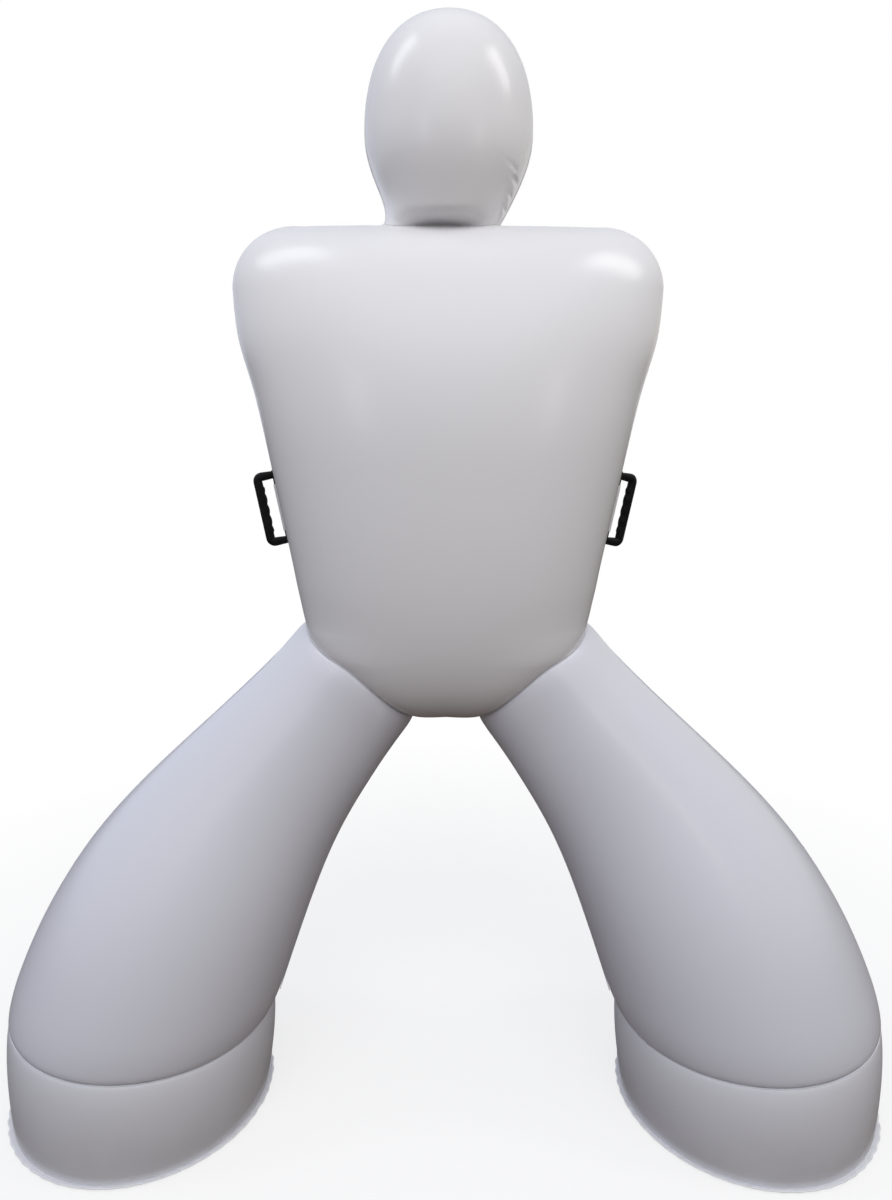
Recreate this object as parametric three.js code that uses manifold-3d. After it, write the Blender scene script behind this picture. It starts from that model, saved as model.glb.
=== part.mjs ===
// An inflatable free kick mannequin: a head, a torso and two spread legs of welded film that hold air,
// two round feet that hold water or sand, a carrying handle on each side, an air valve and two fillers.
// Lengths are in millimetres and angles in degrees. +Z is up, +X is the viewer's right, and -Y is the
// front. The origin is on the floor, midway between the feet. "Left" and "right" are the viewer's.
import * as THREE from 'three';
import { mergeVertices } from 'three/addons/utils/BufferGeometryUtils.js';
import Module from 'manifold-3d';

const wasm = await Module();
wasm.setup();

// Film and welds
const filmThickness = 0.5;
const weldGap = 0.3;
const hipWeldGap = 0.7;

// Stance: the feet's centres, and where the legs meet under the torso
const footSpread = 1118;
const crotchHeight = 728;
const crotchHalfWidth = 50;

// Torso: half widths at heights over the crotch
const torsoHeight = 792;
const hipRise = 165;
const hipHalfWidth = 236;
const waistRise = 384;
const waistHalfWidth = 278;
const ribRise = 526;
const ribHalfWidth = 307;
const chestRise = 622;
const chestHalfWidth = 332.5;
const shoulderRise = 697;
const shoulderHalfWidth = 339.5;
const torsoTopHalfWidth = 243;
const fullestRise = 422;
const torsoHalfDepth = 172;
const chestFullness = 2.2;
const bellyFullness = 3.6;
const torsoSquareness = 2.25;

// Head: measured up from the top of the torso
const headHeight = 301;
const headWidestRise = 134;
const headHalfWidth = 128.5;
const crownHalfWidth = 12;
const cheekHandle = 48;
const neckHandle = 24;
const neckFlare = 7;
const neckHalfWidth = 89;
const headDepthShare = 0.88;
const neckDepthShare = 0.56;
const crownSquareness = 2.3;

// Legs: the outline of each side is a curve that leaves the hip and reaches the foot at these slopes
const hipRingHalfDepth = 105;
const hipRingLift = 15;
const legOuterStartSlope = 47.8;
const legOuterEndSlope = 71.5;
const legInnerStartSlope = 57.8;
const legInnerEndSlope = 71.9;
const legOuterStartShare = 0.38;
const legOuterEndShare = 0.435;
const legInnerStartShare = 0.44;
const legInnerEndShare = 0.6;
const legSlimShare = 0.07;
const ankleSwell = 8;
const anklePinchShare = 0.12;

// Feet: a tilted seam on top, a nearly straight wall and a flat sole
const soleRadius = 229;
const footSeamTaper = 1.5;
const footSeamInset = 11;
const footSeamHeight = 183;
const footSeamSlope = 3;
const footWallBulge = 8;
const footWallDroop = 1.4;
const soleThickness = 1;
const soleFlange = 4;
const deckFlange = 1.5;

// Carrying handles
const handleHeight = 1082;
const handleSetback = 8;
const handleLength = 122.5;
const handleReach = 35;
const handleRodRadius = 3;
const handleLobeRadius = 4.1;
const handleLobeLength = 10;
const gripHalfWidth = 6.5;
const gripHalfDepth = 5.6;
const armEndHalfWidth = 4.5;
const armEndHalfDepth = 4;
const handleCornerRadius = 7.2;
const fingerPitch = 18;
const fingerDepth = 1.3;
const fingerCount = 4;
const rightHandleSwing = 30;
const sleeveLength = 78;
const sleeveThickness = 0.9;
const sleevePad = 14;
const patchLength = 92;
const patchWidth = 50;
const patchThickness = 0.8;

// Air valve, in the middle of the torso's back
const valveHeight = 1000;
const valveFlangeRadius = 29;
const valveFlangeDepth = 3;
const valveFlangeProud = 1.2;
const valveNeckRadius = 17.5;
const valveNeckHeight = 10;
const valveBoreRadius = 14;
const valveBodyDrop = 9;
const valveBodyWall = 2.2;
const valveSeatRadius = 8;
const valveSeatThickness = 2;
const valveCollarThickness = 3;
const valveSpoutRadius = 11.5;
const valveSpoutHeight = 5;
const sealRingThickness = 1.6;
const spokeWidth = 2.4;
const hubRadius = 3.4;
const stemRadius = 1.5;
const stemHeadRadius = 2.6;
const stemHeadHeight = 1.2;
const diaphragmRadius = 10;
const diaphragmThickness = 1;
const valveCapWall = 2.4;
const valveCapRoof = 2.2;
const capSealThickness = 1;
const gripRibs = 14;
const gripRibDepth = 0.9;

// Fillers, in the back of each foot's wall
const fillerHeight = 118;
const fillerAzimuth = 40;
const fillerFlangeRadius = 24;
const fillerFlangeDepth = 3;
const fillerFlangeProud = 1.2;
const fillerNeckRadius = 17;
const fillerNeckHeight = 11;
const fillerBoreRadius = 13;
const gasketThickness = 1.5;
const fillerCapWall = 2.6;
const fillerCapRoof = 2.4;

// How finely the forms are cut
const chestRows = 11;
const bellyRows = 5;
const hipRows = 12;
const panelColumns = 14;
const crownRows = 7;
const neckRows = 5;
const legRows = 11;
const footColumns = 36;
const footRows = 4;
const turnedSides = 24;
const gripSides = 10;

const legX = footSpread / 2;
const seamX = legX - footSeamInset;
const footSeamRadius = soleRadius - footSeamTaper;
const torsoTop = crotchHeight + torsoHeight;
const hipHeight = crotchHeight + hipRise;
const halfGap = weldGap / 2;
const radians = THREE.MathUtils.degToRad;
const lerp = THREE.MathUtils.lerp;

// Finishes
const film = new THREE.MeshStandardMaterial({ color: 0xd9d8df, roughness: 0.32, metalness: 0 });
const moulded = new THREE.MeshStandardMaterial({ color: 0x17171a, roughness: 0.55, metalness: 0 });
const fitting = new THREE.MeshStandardMaterial({ color: 0xc4c4c9, roughness: 0.45, metalness: 0 });
const rubber = new THREE.MeshStandardMaterial({ color: 0x3a3a3d, roughness: 0.8, metalness: 0 });

// A closed geometry as a solid, and a solid as a geometry.
function toSolid(geometry) {
  const bare = geometry.clone();
  bare.deleteAttribute('normal');
  bare.deleteAttribute('uv');
  const merged = mergeVertices(bare, 1e-4);
  const vertProperties = new Float32Array(merged.attributes.position.array);
  const triVerts = new Uint32Array(merged.index.array);
  return new wasm.Manifold(new wasm.Mesh({ numProp: 3, vertProperties, triVerts }));
}

function fromSolid(solid) {
  const cut = solid.getMesh();
  const geometry = new THREE.BufferGeometry();
  geometry.setAttribute('position', new THREE.BufferAttribute(cut.vertProperties, 3));
  geometry.setIndex(new THREE.BufferAttribute(cut.triVerts, 1));
  geometry.computeVertexNormals();
  return geometry;
}

const joined = (...geometries) =>
  fromSolid(geometries.map(toSolid).reduce((whole, next) => whole.add(next)));
const cutAway = (geometry, ...tools) =>
  fromSolid(tools.map(toSolid).reduce((whole, tool) => whole.subtract(tool), toSolid(geometry)));

const root = new THREE.Group();
function addMesh(parent, name, geometry, material) {
  const mesh = new THREE.Mesh(geometry, material.clone());
  mesh.name = name;
  parent.add(mesh);
  return mesh;
}

// A sheet of film from a grid of points on its outer face. The inner face lies one thickness in, and a
// strip closes each free edge. An edge that lies in the side seam stays in the seam's plane.
function filmSheet(grid, { thickness = filmThickness, closed = false, onSeam = () => false } = {}) {
  const rows = grid.length;
  const columns = grid[0].length;
  const at = (i, j) => grid[i][closed ? (j + columns) % columns : j];
  const clampRow = (i) => Math.min(Math.max(i, 0), rows - 1);
  const clampColumn = (j) => (closed ? j : Math.min(Math.max(j, 0), columns - 1));
  const outer = [];
  const inner = [];
  for (let i = 0; i < rows; i++) {
    for (let j = 0; j < columns; j++) {
      const across = at(i, clampColumn(j + 1)).clone().sub(at(i, clampColumn(j - 1)));
      const down = at(clampRow(i + 1), j).clone().sub(at(clampRow(i - 1), j));
      const normal = across.cross(down).normalize();
      if (onSeam(i, j)) normal.setY(0).normalize();
      outer.push(at(i, j));
      inner.push(at(i, j).clone().addScaledVector(normal, -thickness));
    }
  }
  const points = [...outer, ...inner];
  const half = rows * columns;
  const outerIndex = (i, j) => i * columns + ((j + columns) % columns);
  const innerIndex = (i, j) => half + outerIndex(i, j);
  const faces = [];
  const quad = (a, b, c, d) => faces.push(a, b, c, a, c, d);
  const lastColumn = closed ? columns : columns - 1;
  for (let i = 0; i < rows - 1; i++) {
    for (let j = 0; j < lastColumn; j++) {
      quad(outerIndex(i, j), outerIndex(i, j + 1), outerIndex(i + 1, j + 1), outerIndex(i + 1, j));
      quad(innerIndex(i, j), innerIndex(i + 1, j), innerIndex(i + 1, j + 1), innerIndex(i, j + 1));
    }
  }
  for (let j = 0; j < lastColumn; j++) {
    quad(outerIndex(0, j + 1), outerIndex(0, j), innerIndex(0, j), innerIndex(0, j + 1));
    const last = rows - 1;
    quad(outerIndex(last, j), outerIndex(last, j + 1), innerIndex(last, j + 1), innerIndex(last, j));
  }
  if (!closed) {
    for (let i = 0; i < rows - 1; i++) {
      quad(outerIndex(i, 0), outerIndex(i + 1, 0), innerIndex(i + 1, 0), innerIndex(i, 0));
      const last = columns - 1;
      quad(outerIndex(i + 1, last), outerIndex(i, last), innerIndex(i, last), innerIndex(i + 1, last));
    }
  }
  const geometry = new THREE.BufferGeometry().setFromPoints(points);
  geometry.setIndex(faces);
  geometry.computeVertexNormals();
  return geometry;
}

// The same grid on the other side of the middle plane, with its columns turned so that it faces out.
const mirrored = (grid, axis) =>
  grid.map((row) => row.map((p) => p.clone().setComponent(axis, -p.getComponent(axis))).reverse());
const mirrorX = (grid) => mirrored(grid, 0);
const mirrorY = (grid) => mirrored(grid, 1);

// A point of the film's front half: the side seam leaves half the weld's gap to the other panel.
const frontPoint = (x, y, z) => new THREE.Vector3(x, -y - halfGap, z);
const sweepAngle = (step, steps) => (Math.PI * step) / steps;
const superellipse = (share, power) => Math.pow(Math.max(0, 1 - Math.pow(share, power)), 1 / power);

// Torso: its side is one curve from the hip to the shoulder. It is fullest at the belly, and rounds from
// there to the seam over the shoulders and to the crotch, like a pillow.
const sideCurve = new THREE.SplineCurve([
  new THREE.Vector2(hipHalfWidth, hipRise),
  new THREE.Vector2(waistHalfWidth, waistRise),
  new THREE.Vector2(ribHalfWidth, ribRise),
  new THREE.Vector2(chestHalfWidth, chestRise),
  new THREE.Vector2(shoulderHalfWidth, shoulderRise),
]);

function torsoHalfWidth(height) {
  const rise = height - crotchHeight;
  if (rise >= shoulderRise) {
    const share = Math.min(1, (rise - shoulderRise) / (torsoHeight - shoulderRise));
    return lerp(torsoTopHalfWidth, shoulderHalfWidth, superellipse(share, 2));
  }
  let low = 0;
  let high = 1;
  for (let step = 0; step < 40; step++) {
    const middle = (low + high) / 2;
    if (sideCurve.getPoint(middle).y < rise) low = middle;
    else high = middle;
  }
  return sideCurve.getPoint(low).x;
}

const fullestHeight = crotchHeight + fullestRise;
const chestRun = torsoTop - fullestHeight;
function torsoDepthAt(height) {
  const rise = height - fullestHeight;
  const share = Math.min(1, rise > 0 ? rise / chestRun : -rise / fullestRise);
  return torsoHalfDepth * superellipse(share, rise > 0 ? chestFullness : bellyFullness);
}

// How far the torso's side stands from the middle plane at a height and a distance from the side seam.
const torsoSideAt = (y, height) =>
  torsoHalfWidth(height) * superellipse(Math.abs(y) / torsoDepthAt(height), torsoSquareness);

// The height of the torso's rounded top over a point near the neck.
function torsoTopAt(x, y) {
  let low = fullestHeight;
  let high = torsoTop;
  for (let step = 0; step < 40; step++) {
    const middle = (low + high) / 2;
    const depth = Math.max(torsoDepthAt(middle), 1e-6);
    const inside =
      Math.pow(Math.abs(x) / torsoHalfWidth(middle), torsoSquareness) +
      Math.pow(Math.abs(y) / depth, torsoSquareness);
    if (inside < 1) low = middle;
    else high = middle;
  }
  return low;
}

// Hip ring: the seam between the torso and a leg, a ring from the hip down to the crotch whose front
// and back are lifted a little.
const hipOuter = new THREE.Vector2(hipHalfWidth, hipHeight);
const hipInner = new THREE.Vector2(crotchHalfWidth, crotchHeight);
function hipRingPoint(angle) {
  const middle = hipOuter.clone().add(hipInner).multiplyScalar(0.5);
  const reach = hipOuter.clone().sub(hipInner).multiplyScalar(0.5 * Math.cos(angle));
  const lift = hipRingLift * Math.sin(angle) ** 2;
  const depth = hipRingHalfDepth * Math.sin(angle);
  return new THREE.Vector3(middle.x + reach.x, depth, middle.y + reach.y + lift);
}

// One row of the torso's front, from one side over the front to the other. The ends may lie in front
// of the side seam, as they do along the hip ring.
function torsoRow(height, halfWidth, halfDepth, endDepth) {
  const row = [];
  const power = torsoSquareness;
  const endShare = halfDepth > 0 ? Math.min(endDepth / halfDepth, 0.98) : 0;
  const fullWidth = halfWidth / superellipse(endShare, power);
  const startAngle = Math.acos(Math.pow(halfWidth / fullWidth, power / 2));
  for (let j = 0; j <= panelColumns; j++) {
    const angle = lerp(startAngle, Math.PI - startAngle, j / panelColumns);
    const cosine = Math.cos(angle);
    const x = fullWidth * Math.sign(cosine) * Math.pow(Math.abs(cosine), 2 / power);
    const y = halfDepth * Math.pow(Math.abs(Math.sin(angle)), 2 / power);
    const atEnd = j === 0 || j === panelColumns;
    row.push(frontPoint(atEnd ? Math.sign(cosine) * halfWidth : x, atEnd ? endDepth : y, height));
  }
  return row;
}

const torsoGrid = [];
for (let i = 0; i < chestRows; i++) {
  const angle = (Math.PI / 2) * (1 - i / chestRows);
  const height = fullestHeight + chestRun * Math.pow(Math.sin(angle), 2 / chestFullness);
  torsoGrid.push(torsoRow(height, torsoHalfWidth(height), i === 0 ? 0 : torsoDepthAt(height), 0));
}
for (let i = 0; i < bellyRows; i++) {
  const height = lerp(fullestHeight, hipHeight, i / bellyRows);
  torsoGrid.push(torsoRow(height, torsoHalfWidth(height), torsoDepthAt(height), 0));
}
for (let i = 0; i < hipRows; i++) {
  const ring = hipRingPoint(sweepAngle(i, hipRows));
  torsoGrid.push(torsoRow(ring.z, ring.x, torsoDepthAt(ring.z), ring.y));
}
torsoGrid.push(torsoRow(crotchHeight, crotchHalfWidth, 0, 0));
const torsoSeam = (i, j) =>
  i === 0 ||
  i === torsoGrid.length - 1 ||
  ((j === 0 || j === panelColumns) && i <= chestRows + bellyRows);

// Head: a crown that is rounder than an ellipse over cheeks that draw in to a flatter neck, which ends
// on the rounded top of the torso.
const headWidest = torsoTop + headWidestRise;
const cheekCurve = new THREE.CubicBezierCurve(
  new THREE.Vector2(headHalfWidth, headWidest),
  new THREE.Vector2(headHalfWidth, headWidest - cheekHandle),
  new THREE.Vector2(neckHalfWidth + neckFlare, torsoTop + neckHandle),
  new THREE.Vector2(neckHalfWidth, torsoTop),
);

function headRow(halfWidth, height, share) {
  const seamed = Math.sqrt(Math.max(0, halfWidth ** 2 - crownHalfWidth ** 2));
  const depthShare = lerp(headDepthShare, neckDepthShare, share ** 2);
  const settle = share ** 3;
  const row = [];
  for (let j = 0; j <= panelColumns; j++) {
    const angle = sweepAngle(j, panelColumns);
    const x = halfWidth * Math.cos(angle);
    const y = depthShare * seamed * Math.sin(angle);
    const drop = torsoTopAt(x, y) + weldGap - torsoTop;
    row.push(frontPoint(x, y, height + drop * settle));
  }
  return row;
}

const headGrid = [];
const crownRise = headHeight - headWidestRise;
for (let i = 0; i < crownRows; i++) {
  const angle = (Math.PI / 2) * (1 - i / crownRows);
  const width = headHalfWidth * Math.pow(Math.max(Math.cos(angle), 0), 2 / crownSquareness);
  const height = headWidest + crownRise * Math.pow(Math.sin(angle), 2 / crownSquareness);
  headGrid.push(headRow(Math.max(crownHalfWidth, width), height, 0));
}
for (let i = 0; i <= neckRows; i++) {
  const share = i / neckRows;
  const point = cheekCurve.getPoint(share);
  headGrid.push(headRow(point.x, point.y, share));
}
const headSeam = (i, j) => i === 0 || j === 0 || j === panelColumns;

addMesh(root, 'head_front_panel', filmSheet(headGrid, { onSeam: headSeam }), film);
addMesh(root, 'head_back_panel', filmSheet(mirrorY(headGrid), { onSeam: headSeam }), film);
addMesh(root, 'torso_front_panel', filmSheet(torsoGrid, { onSeam: torsoSeam }), film);

// Air valve, with its axis along +Y and the film's face at its flange
const turned = (points, sides = turnedSides) =>
  new THREE.LatheGeometry(points.map(([radius, y]) => new THREE.Vector2(radius, y)), sides);
const roundTool = (radius, length) => new THREE.CylinderGeometry(radius, radius, length, turnedSides);
const annulus = (innerRadius, outerRadius, bottom, top) =>
  turned([
    [innerRadius, bottom],
    [outerRadius, bottom],
    [outerRadius, top],
    [innerRadius, top],
    [innerRadius, bottom],
  ]);

// A screw cap: a cup over a neck, with ribs round its skirt for the fingers.
function ribbedCap(neckRadius, wall, roof, skirtBottom, roofBottom) {
  const outline = new THREE.Shape();
  const points = gripRibs * 4;
  for (let k = 0; k < points; k++) {
    const angle = (2 * Math.PI * k) / points;
    const onRib = k % 4 < 2 ? 0 : gripRibDepth;
    const radius = neckRadius + weldGap + wall - onRib;
    const x = radius * Math.cos(angle);
    const y = radius * Math.sin(angle);
    if (k === 0) outline.moveTo(x, y);
    else outline.lineTo(x, y);
  }
  outline.closePath();
  const height = roofBottom + roof - skirtBottom;
  const block = new THREE.ExtrudeGeometry(outline, { depth: height, bevelEnabled: false });
  block.rotateX(-Math.PI / 2);
  block.translate(0, skirtBottom, 0);
  const hollow = roundTool(neckRadius + weldGap, 2 * (roofBottom - skirtBottom));
  hollow.translate(0, skirtBottom, 0);
  return cutAway(block, hollow);
}

const valve = new THREE.Group();
valve.position.set(0, torsoDepthAt(valveHeight) + halfGap, valveHeight);
root.add(valve);
valve.updateMatrixWorld(true);

const valveHole = roundTool(valveFlangeRadius + weldGap, 2 * torsoHalfDepth);
valveHole.translate(0, torsoHalfDepth / 2, 0);
valveHole.applyMatrix4(valve.matrixWorld);
const torsoBack = filmSheet(mirrorY(torsoGrid), { onSeam: torsoSeam });
addMesh(root, 'torso_back_panel', cutAway(torsoBack, valveHole), film);

const neckTop = valveFlangeProud + valveNeckHeight;
const ringBottom = neckTop + weldGap;
const collarBottom = ringBottom + sealRingThickness + weldGap;
const collarTop = collarBottom + valveCollarThickness;
const spoutTop = collarTop + valveSpoutHeight;
const bodyRadius = valveBoreRadius - weldGap;
const bodyInner = bodyRadius - valveBodyWall;
const bodyBottom = -valveBodyDrop;
const seatBottom = neckTop - valveSeatThickness;

addMesh(
  valve,
  'valve_base',
  turned([
    [valveBoreRadius, -valveFlangeDepth - valveNeckHeight / 2],
    [valveNeckRadius, -valveFlangeDepth - valveNeckHeight / 2],
    [valveNeckRadius, -valveFlangeDepth],
    [valveFlangeRadius, -valveFlangeDepth],
    [valveFlangeRadius, valveFlangeProud / 2],
    [valveFlangeRadius - valveFlangeProud, valveFlangeProud],
    [valveNeckRadius, valveFlangeProud],
    [valveNeckRadius, neckTop],
    [valveBoreRadius, neckTop],
    [valveBoreRadius, -valveFlangeDepth - valveNeckHeight / 2],
  ]),
  fitting,
);
addMesh(
  valve,
  'valve_sealing_ring',
  annulus(bodyRadius + weldGap, valveNeckRadius - weldGap, ringBottom, ringBottom + sealRingThickness),
  rubber,
);

// The body is a threaded cup with a seat across it: a hub on four spokes that carries the diaphragm.
const spokeLength = 2 * (valveSeatRadius + valveBodyWall / 2);
const spoke = () => new THREE.BoxGeometry(spokeLength, valveSeatThickness, spokeWidth);
const seatLevel = seatBottom + valveSeatThickness / 2;
const valveBodyShell = turned([
  [bodyInner, bodyBottom],
  [bodyRadius, bodyBottom],
  [bodyRadius, collarBottom],
  [valveNeckRadius, collarBottom],
  [valveNeckRadius, collarTop],
  [valveSpoutRadius, collarTop],
  [valveSpoutRadius, spoutTop],
  [valveSeatRadius, spoutTop],
  [valveSeatRadius, seatBottom],
  [bodyInner, seatBottom],
  [bodyInner, bodyBottom],
]);
const crossed = joined(
  valveBodyShell,
  spoke().translate(0, seatLevel, 0),
  spoke().rotateY(Math.PI / 2).translate(0, seatLevel, 0),
  roundTool(hubRadius, valveSeatThickness).translate(0, seatLevel, 0),
);
const stemHole = roundTool(stemRadius + weldGap, 2 * valveSeatThickness).translate(0, seatLevel, 0);
addMesh(valve, 'valve_body', cutAway(crossed, stemHole), fitting);

const diaphragmTop = seatBottom - weldGap;
const stemHeadBottom = seatBottom + valveSeatThickness + weldGap;
addMesh(
  valve,
  'valve_diaphragm',
  turned([
    [0, diaphragmTop - diaphragmThickness],
    [diaphragmRadius, diaphragmTop - diaphragmThickness],
    [diaphragmRadius, diaphragmTop],
    [stemRadius, diaphragmTop],
    [stemRadius, stemHeadBottom],
    [stemHeadRadius, stemHeadBottom],
    [stemRadius, stemHeadBottom + stemHeadHeight],
    [0, stemHeadBottom + stemHeadHeight],
  ]),
  rubber,
);

const capSealBottom = spoutTop + weldGap;
const capSealTop = capSealBottom + capSealThickness;
addMesh(
  valve,
  'valve_cap_seal',
  annulus(valveSeatRadius, valveSpoutRadius - weldGap, capSealBottom, capSealTop),
  rubber,
);
addMesh(
  valve,
  'valve_cap',
  ribbedCap(valveSpoutRadius, valveCapWall, valveCapRoof, collarTop + weldGap, capSealTop + weldGap),
  fitting,
);

// Legs: each row runs across the leg between two outline curves, from the hip ring to the foot's seam.
const seamTilt = radians(footSeamSlope);
const seamAcross = new THREE.Vector2(Math.cos(seamTilt), Math.sin(seamTilt));
const seamUp = new THREE.Vector2(-seamAcross.y, seamAcross.x);
const seamCentre = new THREE.Vector2(seamX, footSeamHeight);
const deckClearance = filmThickness / 2 + weldGap;
const legFoot = seamCentre.clone().addScaledVector(seamUp, deckClearance);
const ankleRadius = footSeamRadius + ankleSwell;

function outlineCurve(start, end, startSlope, endSlope, startShare, endShare) {
  const length = end.distanceTo(start);
  const leave = new THREE.Vector2(Math.cos(radians(startSlope)), -Math.sin(radians(startSlope)));
  const arrive = new THREE.Vector2(Math.cos(radians(endSlope)), -Math.sin(radians(endSlope)));
  return new THREE.CubicBezierCurve(
    start,
    start.clone().addScaledVector(leave, length * startShare),
    end.clone().addScaledVector(arrive, -length * endShare),
    end,
  );
}

const hipAlong = hipOuter.clone().sub(hipInner).normalize();
const hipDown = new THREE.Vector2(hipAlong.y, -hipAlong.x);
const legOuter = outlineCurve(
  hipOuter.clone().addScaledVector(hipDown, hipWeldGap),
  legFoot.clone().addScaledVector(seamAcross, ankleRadius),
  legOuterStartSlope,
  legOuterEndSlope,
  legOuterStartShare,
  legOuterEndShare,
);
const legInner = outlineCurve(
  hipInner.clone().addScaledVector(hipDown, hipWeldGap),
  legFoot.clone().addScaledVector(seamAcross, -ankleRadius),
  legInnerStartSlope,
  legInnerEndSlope,
  legInnerStartShare,
  legInnerEndShare,
);

const legGrid = [];
const hipRoundness = hipRingHalfDepth / (hipOuter.distanceTo(hipInner) / 2);
for (let i = 0; i <= legRows; i++) {
  const share = i / legRows;
  const outerPoint = legOuter.getPoint(share);
  const innerPoint = legInner.getPoint(share);
  const middle = outerPoint.clone().add(innerPoint).multiplyScalar(0.5);
  const reach = outerPoint.clone().sub(innerPoint).multiplyScalar(0.5);
  const pinch = Math.max(0, (share - 1 + anklePinchShare) / anklePinchShare) ** 2;
  reach.multiplyScalar(1 - (ankleSwell / ankleRadius) * pinch);
  const roundness = lerp(hipRoundness, 1, share) - legSlimShare * Math.sin(Math.PI * share);
  const lift = hipRingLift * (1 - share) ** 4;
  const row = [];
  for (let j = 0; j <= hipRows; j++) {
    const angle = sweepAngle(j, hipRows);
    const across = Math.cos(angle);
    const depth = reach.length() * roundness * Math.sin(angle);
    const height = middle.y + reach.y * across + lift * Math.sin(angle) ** 2;
    row.push(frontPoint(middle.x + reach.x * across, depth, height));
  }
  legGrid.push(row);
}
const legSeam = (i, j) => j === 0 || j === hipRows;

// Feet
const wallCorner = (angle, radius, centre, tilt) =>
  new THREE.Vector3(
    centre.x + radius * Math.cos(angle) * tilt.x,
    -radius * Math.sin(angle),
    centre.y + radius * Math.cos(angle) * tilt.y,
  );
const wallTop = seamCentre.clone().addScaledVector(seamUp, -deckClearance);
const wallBottom = new THREE.Vector2(legX, soleThickness + weldGap);
const wallBulgeAt = (share) => footWallBulge * Math.sin(Math.PI * share ** footWallDroop);
const footWallGrid = [];
for (let i = 0; i <= footRows; i++) {
  const share = i / footRows;
  const row = [];
  for (let j = 0; j < footColumns; j++) {
    const angle = (2 * Math.PI * j) / footColumns;
    const top = wallCorner(angle, footSeamRadius, wallTop, seamAcross);
    const bottom = wallCorner(angle, soleRadius, wallBottom, new THREE.Vector2(1, 0));
    const point = top.lerp(bottom, share);
    const out = new THREE.Vector3(Math.cos(angle), -Math.sin(angle), 0);
    row.push(point.addScaledVector(out, wallBulgeAt(share)));
  }
  footWallGrid.push(row);
}

// A filler's place on the right foot's wall, facing out of the wall's back.
const fillerShare = 1 - fillerHeight / footSeamHeight;
const fillerWallX = lerp(seamX, legX, fillerShare);
const fillerWallRadius =
  lerp(footSeamRadius, soleRadius, fillerShare) + wallBulgeAt(fillerShare);
const fillerTop = fillerFlangeProud + fillerNeckHeight;
const gasketBottom = fillerTop + weldGap;
const gasketTop = gasketBottom + gasketThickness;

for (const [side, sign] of [['left', -1], ['right', 1]]) {
  const facing = (grid) => (sign > 0 ? grid : mirrorX(grid));
  const seam = { onSeam: legSeam };
  addMesh(root, `${side}_leg_front_panel`, filmSheet(facing(legGrid), seam), film);
  addMesh(root, `${side}_leg_back_panel`, filmSheet(facing(mirrorY(legGrid)), seam), film);

  const deck = new THREE.CylinderGeometry(
    footSeamRadius + deckFlange,
    footSeamRadius + deckFlange,
    filmThickness,
    footColumns,
  );
  deck.rotateX(Math.PI / 2);
  const deckMesh = addMesh(root, `${side}_foot_deck`, deck, film);
  deckMesh.position.set(sign * seamX, 0, footSeamHeight);
  deckMesh.rotation.y = -sign * seamTilt;

  const sole = new THREE.CylinderGeometry(
    soleRadius + soleFlange,
    soleRadius + soleFlange,
    soleThickness,
    footColumns,
  );
  sole.rotateX(Math.PI / 2);
  const soleMesh = addMesh(root, `${side}_sole`, sole, film);
  soleMesh.position.set(sign * legX, 0, soleThickness / 2);

  // The filler's own +Y points out of the wall.
  const turn = radians(fillerAzimuth);
  const out = new THREE.Vector3(sign * Math.sin(turn), Math.cos(turn), 0);
  const filler = new THREE.Group();
  filler.position.set(sign * fillerWallX, 0, fillerHeight).addScaledVector(out, fillerWallRadius);
  filler.quaternion.setFromUnitVectors(new THREE.Vector3(0, 1, 0), out);
  root.add(filler);
  filler.updateMatrixWorld(true);

  const hole = roundTool(fillerFlangeRadius + weldGap, fillerWallRadius);
  hole.applyMatrix4(filler.matrixWorld);
  const wall = filmSheet(facing(footWallGrid), { closed: true });
  addMesh(root, `${side}_foot_wall`, cutAway(wall, hole), film);

  addMesh(
    filler,
    `${side}_filler_collar`,
    turned([
      [fillerBoreRadius, -fillerFlangeDepth],
      [fillerFlangeRadius, -fillerFlangeDepth],
      [fillerFlangeRadius, fillerFlangeProud / 2],
      [fillerFlangeRadius - fillerFlangeProud, fillerFlangeProud],
      [fillerNeckRadius, fillerFlangeProud],
      [fillerNeckRadius, fillerTop],
      [fillerBoreRadius, fillerTop],
      [fillerBoreRadius, -fillerFlangeDepth],
    ]),
    fitting,
  );
  addMesh(
    filler,
    `${side}_filler_gasket`,
    annulus(fillerBoreRadius, fillerNeckRadius - weldGap, gasketBottom, gasketTop),
    rubber,
  );
  const skirt = fillerFlangeProud + weldGap;
  addMesh(
    filler,
    `${side}_filler_cap`,
    ribbedCap(fillerNeckRadius, fillerCapWall, fillerCapRoof, skirt, gasketTop + weldGap),
    fitting,
  );
}

// Handles. Their own X points out of the torso's side, Z runs up along it, and the rod is at X = 0.
const sideRun = handleLength / 2;
const sideLean = Math.atan2(
  torsoSideAt(handleSetback, handleHeight + sideRun) - torsoSideAt(handleSetback, handleHeight - sideRun),
  handleLength,
);
const patchFace = weldGap + patchThickness;

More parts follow.
